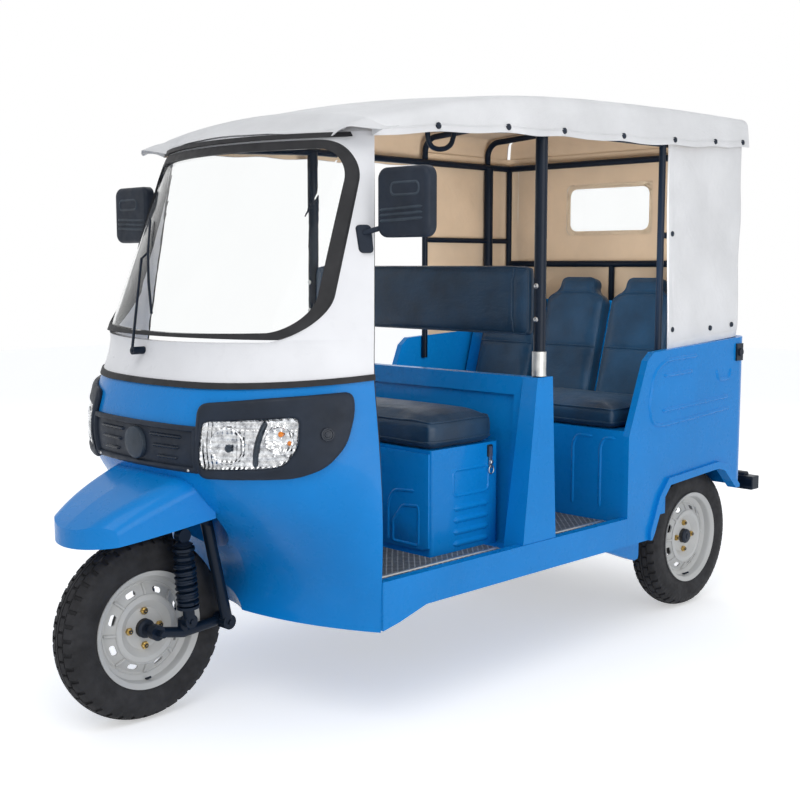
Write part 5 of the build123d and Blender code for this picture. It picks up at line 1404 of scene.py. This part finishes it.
def inset(outline, distance):
    """Closed outline moved inwards."""
    count = len(outline)
    area = sum(
        outline[i - 1][0] * outline[i][1] - outline[i][0] * outline[i - 1][1] for i in range(count)
    )
    sign = 1 if area > 0 else -1
    moved = []
    for i, (u, v) in enumerate(outline):
        du = outline[(i + 1) % count][0] - outline[i - 1][0]
        dv = outline[(i + 1) % count][1] - outline[i - 1][1]
        size = math.hypot(du, dv) or 1.0
        moved.append((u - sign * dv / size * distance, v + sign * du / size * distance))
    return moved


def nose_ring(tree, side, outline, lift):
    """Points of an outline laid on the nose at a height above it."""
    return [
        nose_at(tree, side * math.degrees(u / NOSE_REACH), v, lift)[0] for u, v in outline
    ]


def shrunk(outline, share):
    """Outline drawn towards its middle."""
    middle = [sum(point[i] for point in outline) / len(outline) for i in (0, 1)]
    return [tuple(m + (p - m) * share for m, p in zip(middle, point)) for point in outline]


def nose_moulding(name, tree, side, layers, finish):
    """Closed moulding through outlines at given heights over the nose."""
    rings = [nose_ring(tree, side, outline, lift) for outline, lift in layers]
    obj = ringed_piece(name, rings + rings[:1], finish, sharp=50)
    mend(obj, WELD)
    return obj


def layered(outline, *pairs):
    """Layers of a moulding from pairs of inset and height."""
    return [(inset(outline, by) if by else outline, height) for by, height in pairs]


def dish(name, centre, axis, radius, depth, finish):
    """Round reflector bowl with a rolled rim."""
    lip, floor = radius + 0.004, 0.0012
    profile = [(-0.001, lip), (depth, lip), (depth + floor, radius + 0.002), (depth, radius)]
    for k in range(1, 12):
        share = 1 - k / 12
        profile.append((floor + (depth - floor) * share**2, radius * share))
    profile.append((floor, 0.0))
    return lathe(name, profile, centre, axis, finish, steps=48, sharp=40)


def build_lamps():
    """Lamp bezels, clear lenses, reflectors, bulbs and dividers, and the round plugs."""
    cowl = surface("front_cowl")
    cap = ((0.0, 0.0105), (0.005, 0.0105), (0.0068, 0.0090), (0.0076, 0.0060), (0.0078, 0.0))
    bulb = ((0.0, 0.0075), (0.005, 0.0075), (0.0070, 0.0060), (0.0078, 0.0035), (0.0080, 0.0))
    plug = (
        (-0.002, 0.0180), (0.0022, 0.0180), (0.0034, 0.0166), (0.0034, 0.0140), (0.0008, 0.0128),
        (0.0010, 0.0085), (0.0030, 0.0075), (0.0034, 0.0),
    )
    shares = (1, 0.9, 0.7, 0.45, 0.2, 0.03)
    for side, name in HANDS:
        outer, opening = nose_outline(BEZEL, 0.030), nose_outline(LENS, 0.020)
        layers = layered(
            outer, (0, -0.001), (0, 0.0085), (0.0012, 0.0125), (0.004, 0.0152), (0.0085, 0.0166),
            (0.012, 0.0168),
        ) + layered(
            opening, (-0.0075, 0.0160), (-0.0035, 0.0152), (-0.001, 0.0130), (0, 0.0100),
            (0, -0.001),
        )
        nose_moulding("lamp_bezel_" + name, cowl, side, layers, "black_plastic")
        pane = inset(opening, 0.0004)
        rings = []
        for face, order in ((0.0112, shares), (0.0096, shares[::-1])):
            for share in order:
                lift = face - 0.0028 * share**3
                rings.append(nose_ring(cowl, side, shrunk(pane, share), lift))
        lens = ringed_piece("lamp_lens_" + name, rings + rings[:1], "lamp_glass", sharp=60)
        mend(lens, WELD)
        if side > 0:
            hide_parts("headlamps")
        bucket = layered(opening, (0.0006, 0.0072), (0.0025, 0.0040), (0.006, 0.0016))
        floor = bucket[-1][0]
        bucket += [(shrunk(floor, share), 0.0012) for share in (0.8, 0.6, 0.4, 0.2, 0.02)]
        rings = [nose_ring(cowl, side, outline, lift) for outline, lift in bucket]
        ringed_piece("lamp_backing_" + name, rings, "lamp_reflector")
        parts = []
        for number, (turn, z, radius) in enumerate(((36.6, 0.812, 0.046), (50.4, 0.829, 0.034))):
            bowl = f"lamp_bowl_{name}_{number}"
            place = nose_at(cowl, side * turn, z, 0.0012)
            parts.append(dish(bowl, *place, radius, 0.0062, "lamp_reflector"))
        join("lamp_bowls_" + name, parts)
        for key, profile, turn, z, finish, steps in (
            ("lamp", cap, 37.0, 0.806, "slate_plastic", 28),
            ("turn", bulb, 50.9, 0.846, "amber_lens", 24),
            ("side", bulb, 53.2, 0.822, "amber_lens", 24),
        ):
            place = nose_at(cowl, side * turn, z, 0.001)
            lathe(f"{key}_bulb_{name}", profile, *place, finish, steps=steps)
        divider = []
        for t in steps_between(0, 1, 20):
            turn = 47.1 - 2.9 * t - 0.9 * math.sin(math.pi * t)
            divider.append(nose_at(cowl, side * turn, 0.880 - 0.124 * t, 0.001))
        pressed("lamp_divider_" + name, [divider], 0.0095, 0.0078, "slate_plastic")
        place = nose_at(cowl, side * 62.6, 0.8430, 0.0150)
        lathe("fascia_plug_" + name, plug, *place, "black_gloss", steps=36)


def build_nose_details():
    """Middle panel of the fascia with its frame, ribs, round badge and screws."""
    cowl = surface("front_cowl")
    edge = nose_outline(PANEL, 0.006, 200)
    layers = layered(
        edge, (0, -0.001), (0, 0.0080), (0.0015, 0.0112), (0.005, 0.0124), (0.012, 0.0124),
        (0.0145, 0.0105), (0.0155, 0.0030), (0.0155, -0.001),
    )
    panel = nose_moulding("fascia_panel", cowl, 1, layers, "black_plastic")
    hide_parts("nose_fascia")
    rows = [
        [nose_at(cowl, turn, z, 0.0032)[0] for turn in steps_between(-26.5, 26.5, 60)]
        for z in steps_between(0.740, 0.852, 6)
    ]
    piece("fascia_floor", *grid(rows), "black_plastic")
    ribs = []
    for side in SIDES:
        for start, end, z in ((7.0, 21.5, 0.826), (8.5, 20.5, 0.797), (10.5, 19.5, 0.768)):
            turns = steps_between(start, end, 20)
            ribs.append([nose_at(cowl, side * turn, z, 0.0030) for turn in turns])
    pressed("fascia_ribs", ribs, 0.0062, 0.0075, "black_gloss")
    badge = (
        (-0.001, 0.0450), (0.0115, 0.0450), (0.0135, 0.0438), (0.0145, 0.0405), (0.0150, 0.0200),
        (0.0152, 0.0),
    )
    lathe("fascia_badge", badge, *nose_at(cowl, 0, 0.795), "slate_plastic", steps=64)
    parts = [
        screw(f"fascia_screw_{number}", *nose_at(cowl, turn, 0.7415, 0.0124), 0.0042)
        for number, turn in enumerate((-24.0, 24.0))
    ]
    join("fascia_screws", parts)


def screw(name, place, axis, radius):
    """Pan-head screw."""
    profile = (
        (-0.002, radius), (0.0010, radius), (0.0022, radius * 0.82), (0.0029, radius * 0.5),
        (0.0020, radius * 0.34), (0.0020, 0.0),
    )
    return lathe(name, profile, place, axis, "bright_steel", steps=20)


def build_mirror_details():
    """Raised pill and long ribs on the front of the mirror housings."""
    housing = surface("mirrors")
    low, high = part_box("mirror_glasses")
    centre_y, centre_z = (abs(low.y) + abs(high.y)) / 4 + 0.276, (low.z + high.z) / 2
    for side, name in HANDS:
        pill = ringed(sided(
            side, (centre_y - 0.038, centre_z + 0.018), (centre_y + 0.064, centre_z + 0.018),
            (centre_y + 0.064, centre_z + 0.050), (centre_y - 0.038, centre_z + 0.050),
        ), 0.016, 0.004)
        ribs = []
        for step in (0.0, 0.0145, 0.029):
            start = (centre_y - 0.082, centre_z - 0.020 - step)
            end = (centre_y + 0.078, centre_z - 0.014 - step)
            ribs.append(on_front(housing, bent(sided(side, start, end), 0.01)))
        pressed("mirror_pill_" + name, [on_front(housing, pill)], 0.0042, 0.0022, "slate_plastic")
        pressed("mirror_ribs_" + name, ribs, 0.0052, 0.0040, "slate_plastic")


def build_door_seals():
    """Rubber beading on the rear edge of the cowl and the surround."""
    cowl, hood = surface("front_cowl"), surface("windshield_surround")
    edge = (
        (0.432, 0.738), (0.600, 0.738), (0.715, 0.737), (0.975, 0.730), (1.090, 0.718),
        (1.640, 0.656),
    )
    for side, name in HANDS:
        run = []
        for (z0, x0), (z1, x1) in zip(edge, edge[1:]):
            for share in steps_between(0.0, 0.95, 11):
                z, x = z0 + (z1 - z0) * share, x0 + (x1 - x0) * share
                if 0.950 < z < 1.002:
                    continue
                tree = cowl if z < 0.96 else hood
                start, spare = (x + 0.006, side * 1.2, z), (x, side * 0.55, z)
                place, _ = hit(tree, start, (0, -side, 0), spare)
                run.append(Vector((x - 0.001, place.y - side * 0.0085, z)))
        wire("door_seal_" + name, [run], 0.0082, "seal_rubber")


# ---------------------------------------------------------------- panels and fittings
def build_panel_beads():
    """Pressed beads of the rear side panels, the driver's seat box and the rear seat base."""
    bead = sizes().bead_height
    outline = (
        (-0.835, 0.965), (-0.625, 0.958), (-0.560, 0.915), (-0.537, 0.800), (-0.556, 0.742),
        (-0.620, 0.732), (-1.070, 0.758),
    )
    runs = [
        bent(outline, 0.035), bent(((-0.615, 0.783), (-1.060, 0.801)), 0.01),
        bent(((-0.622, 0.905), (-0.806, 0.911)), 0.01),
        bent(((-0.975, 0.905), (-0.985, 0.868), (-1.062, 0.868), (-1.078, 0.905)), 0.04),
    ]
    frame_run = ringed(rectangle(0.118, 0.282, 0.584, 0.664), 0.020)
    rib_runs = [bent(((0.118, z), (0.282, z)), 0.01) for z in (0.545, 0.508, 0.471, 0.434)]
    box_tree = surface("driver_seat_box")
    base_tree = surface("rear_seat_base")
    low, proud = 0.3780, 0.3852   # faces of the plate in front of the seat box
    for side, name in HANDS:

        def beads(key, places, width, height):
            """Beads of one group in the body's colour."""
            pressed(f"{key}_{name}", places, width, height, "blue_paint")

        tree = surface("rear_panel_" + name)
        beads("panel_beads", [on_side(tree, side, run) for run in runs], 0.0085, bead * 1.8)
        beads("seat_box_frame", [on_side(box_tree, side, frame_run)], 0.007, bead)
        ribs = [on_side(box_tree, side, run) for run in rib_runs]
        beads("seat_box_ribs", ribs, 0.0125, bead * 1.9)
        plate = sided(side, *rectangle(0.010, 0.432, 0.428, 0.724))
        edge = resampled(plate + plate[:1], 40)[:-1]
        layers = (low, edge), (0.3846, edge), (proud, shrunk(edge, 0.994))
        rings = [[Vector((x, y, z)) for y, z in ring] for x, ring in layers]
        ringed_piece("seat_box_plate_" + name, rings, "blue_paint", closed_ends=True)
        front = [
            bent(sided(side, (0.375, 0.606), (0.285, 0.600), (0.262, 0.560), (0.262, 0.440)), 0.03),
            ringed(sided(
                side, (0.392, 0.440), (0.392, 0.562), (0.325, 0.556), (0.283, 0.505),
                (0.283, 0.440),
            ), 0.008),
        ]
        forward = Vector((1, 0, 0))
        places = [[(Vector((proud, y, z)), forward) for y, z in run] for run in front]
        beads("seat_box_front", places, 0.0065, bead)
        tall = []
        for out, turn, inner in ((0.545, 0.500, 0.482), (0.450, 0.385, 0.367)):
            corners = (out, 0.700), (turn, 0.700), (inner, 0.670), (inner, 0.455)
            tall.append(on_front_of(base_tree, bent(sided(side, *corners), 0.025)))
        beads("rear_base_beads", tall, 0.0075, bead)


def build_fittings():
    """Post bolts and clamps, and the catch of the driver's seat with its ring."""
    parts = []
    post_y = 0.535
    turns = [2 * math.pi * k / 40 for k in range(40)]
    for sign, name in HANDS:
        for number, z in enumerate((1.118, 1.222)):
            place = (0.0105, sign * post_y, z)
            parts.append(screw(f"post_bolt_{name}_{number}", place, (1, 0, 0), 0.0085))
        clamp = [
            [
                Vector((-0.010 + 0.0225 * math.cos(t), sign * post_y + 0.0225 * math.sin(t), z))
                for t in turns
            ]
            for z in (0.941, 0.950, 1.010, 1.018)
        ]
        parts.append(ringed_piece(f"post_clamp_{name}", clamp, "galvanised"))
    join("post_fittings", parts)
    x = 0.114                     # middle of the catch
    box_tree = surface("driver_seat_box")
    face = hit(box_tree, (x, 1.5, 0.700), (0, -1, 0), (x, 0.44, 0.7))[0]
    for key, sides, corner, outs, finish in (
        ("plate", (0.102, 0.126, 0.689, 0.727), 0.004, (-0.001, 0.0035), "black_plastic"),
        ("strap", (0.107, 0.121, 0.652, 0.722), 0.005, (0.0036, 0.0064), "bright_steel"),
    ):
        flat = ringed(rectangle(*sides), corner, 0.003)[:-1]
        rings = [[Vector((u, face.y + out, v)) for u, v in flat] for out in outs]
        ringed_piece("seat_catch_" + key, rings, finish, closed_ends=True)
    knob = ((0.006, 0.0070), (0.0115, 0.0065), (0.0130, 0.0045), (0.0132, 0.0))
    place = (x, face.y, 0.672)
    lathe("seat_catch_knob", knob, place, (0, 1, 0), "bright_steel", steps=24)
    ring = [
        Vector((x + 0.011 * math.sin(t), face.y + 0.0085, 0.648 + 0.013 * math.cos(t)))
        for t in (2 * math.pi * k / 48 for k in range(49))
    ]
    wire("seat_catch_ring", [ring], 0.0018, "bright_steel")


def slab(name, outline, low, high, finish, bevel):
    """Plate between two heights or sides, its outline given as (x, z), square to Y."""
    edge = resampled(list(outline) + [outline[0]], len(outline) * 6)[:-1]
    small = inset(edge, bevel)
    layers = ((small, low), (edge, low + bevel), (edge, high - bevel), (small, high))
    rings = [[Vector((x, y, z)) for x, z in ring] for ring, y in layers]
    return ringed_piece(name, rings, finish, closed_ends=True, sharp=40)


def build_trim():
    """Mat edge strips, sill brackets, bumper ends and the loop under the roof."""
    ridge = ((0.0, 0.0), (0.002, 0.0034), (0.010, 0.0034), (0.012, 0.0))
    bracket = (
        (-0.372, 0.3385), (-0.602, 0.3385), (-0.602, 0.250), (-0.576, 0.246), (-0.410, 0.306),
    )
    bumper = ((-1.3838, 0.404), (-1.3838, 0.456), (-1.3310, 0.456), (-1.3310, 0.404))
    for side, name in HANDS:
        strips = []
        for number, ends in enumerate(((0.150, 0.664), (-0.408, -0.038))):
            rings = [
                [Vector((x, side * (0.500 + across), 0.4131 + up)) for across, up in ridge]
                for x in ends
            ]
            strip = f"mat_strip_{name}_{number}"
            strips.append(ringed_piece(strip, rings, "galvanised", closed_ends=True))
        join("mat_strips_" + name, strips)
        for key, outline, inner, outer, finish, bevel in (
            ("sill_bracket_", bracket, 0.492, 0.528, "blue_paint", 0.004),
            ("bumper_end_", bumper, 0.455, 0.565, "black_steel", 0.003),
        ):
            low, high = sorted((side * inner, side * outer))
            slab(key + name, outline, low, high, finish, bevel)
    loop = resampled([
        (-0.376, 1.800), (-0.382, 1.752), (-0.402, 1.728), (-0.440, 1.722), (-0.480, 1.728),
        (-0.512, 1.746), (-0.532, 1.800),
    ], 40)
    smooth = []
    for k in range(41):
        near = [loop[max(0, min(40, k + step))] for step in (-2, -1, 0, 1, 2)]
        x, z = (sum(point[i] for point in near) / 5 for i in (0, 1))
        smooth.append(Vector((x, -0.300, z)))
    wire("roof_loop", [smooth], 0.010, "black_steel")


def build_suspension():
    """Coil springs and bellows on the front shocks."""
    turns, steps, coil_radius = 7, 28, 0.0285
    low, high = 0.055, 0.165      # ends of the coil along the shock
    profile = [(0.166, 0.018)]
    for k in range(6):
        start = 0.010 * k
        profile += [(0.170 + start, 0.0215), (0.174 + start, 0.0280), (0.177 + start, 0.0215)]
    profile.append((0.232, 0.018))
    for sign, name in HANDS:
        foot = Vector((1.030, sign * 0.112, 0.285))
        head = Vector((1.048, sign * 0.112, 0.534))
        axis = (head - foot).normalized()
        first, second = frame_along(axis)
        coil = []
        for k in range(turns * steps + 1):
            t = k / (turns * steps)
            turn = 2 * math.pi * turns * t
            out = first * math.cos(turn) + second * math.sin(turn)
            coil.append(foot + axis * (low + (high - low) * t) + out * coil_radius)
        wire("shock_coil_" + name, [coil], 0.0042, "black_steel", "steering")
        lathe(
            "shock_bellows_" + name, profile, foot, axis, "black_plastic", "steering", steps=32,
            sharp=60,
        )


def dress_nodes():
    """Finish of each carried-over node, by the record's own slots."""
    for subpart in frame["record"]["subparts"]:
        obj = NODES[subpart["node"]]
        for held in obj.material_slots:
            held.material = FINISHES[subpart["material_slot"]]


# ---------------------------------------------------------------- stage
def area_lamp(name, place, target, size, power):
    """Soft rectangular lamp aimed at a target."""
    data = bpy.data.lights.new(name, "AREA")
    data.shape = "RECTANGLE"
    data.size, data.size_y = size
    data.energy = power
    lamp = linked(name, data)
    lamp.location = place
    lamp.rotation_euler = (Vector(target) - Vector(place)).to_track_quat("-Z", "Y").to_euler()
    return lamp


def build_stage():
    """Pale floor, soft lamps, white world and the camera."""
    reach = steps_between(-14, 14, 14)
    points, faces = grid([[(x, y, -0.0005) for x in reach] for y in reach])
    mesh = bpy.data.meshes.new("floor")
    mesh.from_pydata(points, [], faces)
    floor = linked("floor", mesh)
    tree = Tree("floor_paint")
    tone = tuple(colours().floor)
    tree.mottle(0.7, 3, tone, 0.985, 1)
    tree.set(Roughness=0.85, Specular_IOR_Level=0.1)
    tree.shader.inputs["Emission Color"].default_value = (1, 1, 1, 1)
    path = tree.add("LightPath").outputs
    seen = tree.maths("MAXIMUM", path["Is Camera Ray"], path["Is Glossy Ray"])
    seen = tree.maths("MAXIMUM", seen, path["Is Transmission Ray"])
    tree.links.new(tree.maths("MULTIPLY", seen, 0.42), tree.shader.inputs["Emission Strength"])
    mesh.materials.append(tree.material)

    world = bpy.data.worlds.new("studio")
    bpy.context.scene.world = world
    world.use_nodes = True
    nodes, links = world.node_tree.nodes, world.node_tree.links
    nodes.clear()
    path = nodes.new("ShaderNodeLightPath").outputs
    share = path["Is Camera Ray"]
    for ray in ("Is Glossy Ray", "Is Transmission Ray"):
        either = nodes.new("ShaderNodeMath")
        either.operation = "MAXIMUM"
        links.new(share, either.inputs[0])
        links.new(path[ray], either.inputs[1])
        share = either.outputs[0]
    mix = nodes.new("ShaderNodeMixShader")
    links.new(share, mix.inputs[0])
    # light on the object, then the white that is seen behind it
    for socket, colour, strength in ((1, (0.93, 0.96, 1.0, 1), 0.62), (2, (1, 1, 1, 1), 1.0)):
        sky = nodes.new("ShaderNodeBackground")
        sky.inputs["Color"].default_value = colour
        sky.inputs["Strength"].default_value = strength
        links.new(sky.outputs[0], mix.inputs[socket])
    output = nodes.new("ShaderNodeOutputWorld")
    links.new(mix.outputs[0], output.inputs[0])

    area_lamp("key", (3.4, 2.2, 4.6), (0.0, 0.2, 0.8), (3.2, 3.2), 75)
    area_lamp("fill", (0.9, 5.4, 1.3), (-0.2, 0.0, 1.2), (4.4, 2.2), 85)
    area_lamp("rim", (-3.6, -3.0, 4.2), (-0.2, 0.0, 0.9), (3.5, 3.0), 60)
    cabin = area_lamp("cabin", (-0.28, 0.46, 1.22), (-0.95, -0.50, 1.50), (0.50, 0.40), 6.5)
    cabin.visible_camera = cabin.visible_glossy = False

    camera = linked("camera", bpy.data.cameras.new("camera"))
    camera.data.lens = 54.2
    camera.data.sensor_width = 36
    yaw, pitch = math.radians(224.82), math.radians(-6.46)
    level = math.cos(pitch)
    aim = Vector((math.cos(yaw) * level, math.sin(yaw) * level, math.sin(pitch)))
    camera.location = (2.966, 2.878, 1.291)
    camera.rotation_euler = aim.to_track_quat("-Z", "Y").to_euler()
    bpy.context.scene.camera = camera
    bpy.context.scene.view_settings.view_transform = "Standard"


# ---------------------------------------------------------------- operators
class RICKSHAW_OT_finishes(bpy.types.Operator):
    """Make the materials and give them to the frame's nodes"""

    bl_idname = "rickshaw.finishes"
    bl_label = "Finishes"
    bl_options = {"REGISTER", "UNDO"}

    def execute(self, context):
        """Materials and their places."""
        make_finishes()
        dress_nodes()
        return {"FINISHED"}


class RICKSHAW_OT_canopy(bpy.types.Operator):
    """Stretch the canopy over its hoops"""

    bl_idname = "rickshaw.canopy"
    bl_label = "Canopy"
    bl_options = {"REGISTER", "UNDO"}

    def execute(self, context):
        """Canopy, rear flap, hems and fasteners."""
        build_canopy()
        return {"FINISHED"}


class RICKSHAW_OT_curtains(bpy.types.Operator):
    """Hang the side and rear curtains"""

    bl_idname = "rickshaw.curtains"
    bl_label = "Curtains"
    bl_options = {"REGISTER", "UNDO"}

    def execute(self, context):
        """Side curtains and the rear curtain."""
        left = build_side_curtain(1, "left")
        build_side_curtain(-1, "right")
        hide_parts("side_curtains")
        build_rear_curtain()
        return {"FINISHED"}


class RICKSHAW_OT_cushions(bpy.types.Operator):
    """Swell, sew and pipe the cushions"""

    bl_idname = "rickshaw.cushions"
    bl_label = "Cushions"
    bl_options = {"REGISTER", "UNDO"}

    def execute(self, context):
        """Every cushion and backrest."""
        build_cushions()
        return {"FINISHED"}


class RICKSHAW_OT_wheels(bpy.types.Operator):
    """Tread, nuts and valves of the wheels"""

    bl_idname = "rickshaw.wheels"
    bl_label = "Wheels"
    bl_options = {"REGISTER", "UNDO"}

    def execute(self, context):
        """Tyres and wheel fittings."""
        for name, body, centre, side in WHEELS:
            build_tyre(name, body, centre)
            build_wheel_fittings(name, body, centre, side)
        return {"FINISHED"}


class RICKSHAW_OT_nose(bpy.types.Operator):
    """Lamps, fascia details and mirrors"""

    bl_idname = "rickshaw.nose"
    bl_label = "Nose"
    bl_options = {"REGISTER", "UNDO"}

    def execute(self, context):
        """Everything on the nose and the mirrors."""
        build_lamps()
        build_nose_details()
        build_mirror_details()
        build_door_seals()
        return {"FINISHED"}


class RICKSHAW_OT_fittings(bpy.types.Operator):
    """Pressed beads, catches, clamps and front springs"""

    bl_idname = "rickshaw.fittings"
    bl_label = "Fittings"
    bl_options = {"REGISTER", "UNDO"}

    def execute(self, context):
        """Beads, small metal parts and suspension."""
        build_panel_beads()
        build_fittings()
        build_trim()
        build_suspension()
        return {"FINISHED"}


class RICKSHAW_OT_stage(bpy.types.Operator):
    """Floor, lamps, world and camera"""

    bl_idname = "rickshaw.stage"
    bl_label = "Stage"
    bl_options = {"REGISTER", "UNDO"}

    def execute(self, context):
        """The studio."""
        build_stage()
        return {"FINISHED"}


OPERATORS = (
    RICKSHAW_OT_finishes, RICKSHAW_OT_canopy, RICKSHAW_OT_curtains, RICKSHAW_OT_cushions,
    RICKSHAW_OT_wheels, RICKSHAW_OT_nose, RICKSHAW_OT_fittings, RICKSHAW_OT_stage,
)


class RICKSHAW_PT_panel(bpy.types.Panel):
    """Sidebar panel with the settings and the operators"""

    bl_label = "Rickshaw"
    bl_idname = "RICKSHAW_PT_panel"
    bl_space_type = "VIEW_3D"
    bl_region_type = "UI"
    bl_category = "Rickshaw"

    def draw(self, context):
        """Settings first, then one button an operator."""
        for group in (context.scene.rickshaw_colours, context.scene.rickshaw_sizes):
            for key in group.__annotations__:
                self.layout.prop(group, key)
        for operator in OPERATORS:
            self.layout.operator(operator.bl_idname)


CLASSES = (RickshawColours, RickshawSizes, *OPERATORS, RICKSHAW_PT_panel)


def register():
    """Add the classes and the scene's settings."""
    for item in CLASSES:
        bpy.utils.register_class(item)
    bpy.types.Scene.rickshaw_colours = bpy.props.PointerProperty(type=RickshawColours)
    bpy.types.Scene.rickshaw_sizes = bpy.props.PointerProperty(type=RickshawSizes)


def unregister():
    """Take the settings and classes away again."""
    del bpy.types.Scene.rickshaw_sizes
    del bpy.types.Scene.rickshaw_colours
    for item in reversed(CLASSES):
        bpy.utils.unregister_class(item)


def main():
    """Build everything in order."""
    register()
    bpy.ops.rickshaw.finishes()
    bpy.ops.rickshaw.canopy()
    bpy.ops.rickshaw.curtains()
    bpy.ops.rickshaw.cushions()
    bpy.ops.rickshaw.wheels()
    bpy.ops.rickshaw.nose()
    bpy.ops.rickshaw.fittings()
    bpy.ops.rickshaw.stage()


if __name__ == "__main__":
    main()
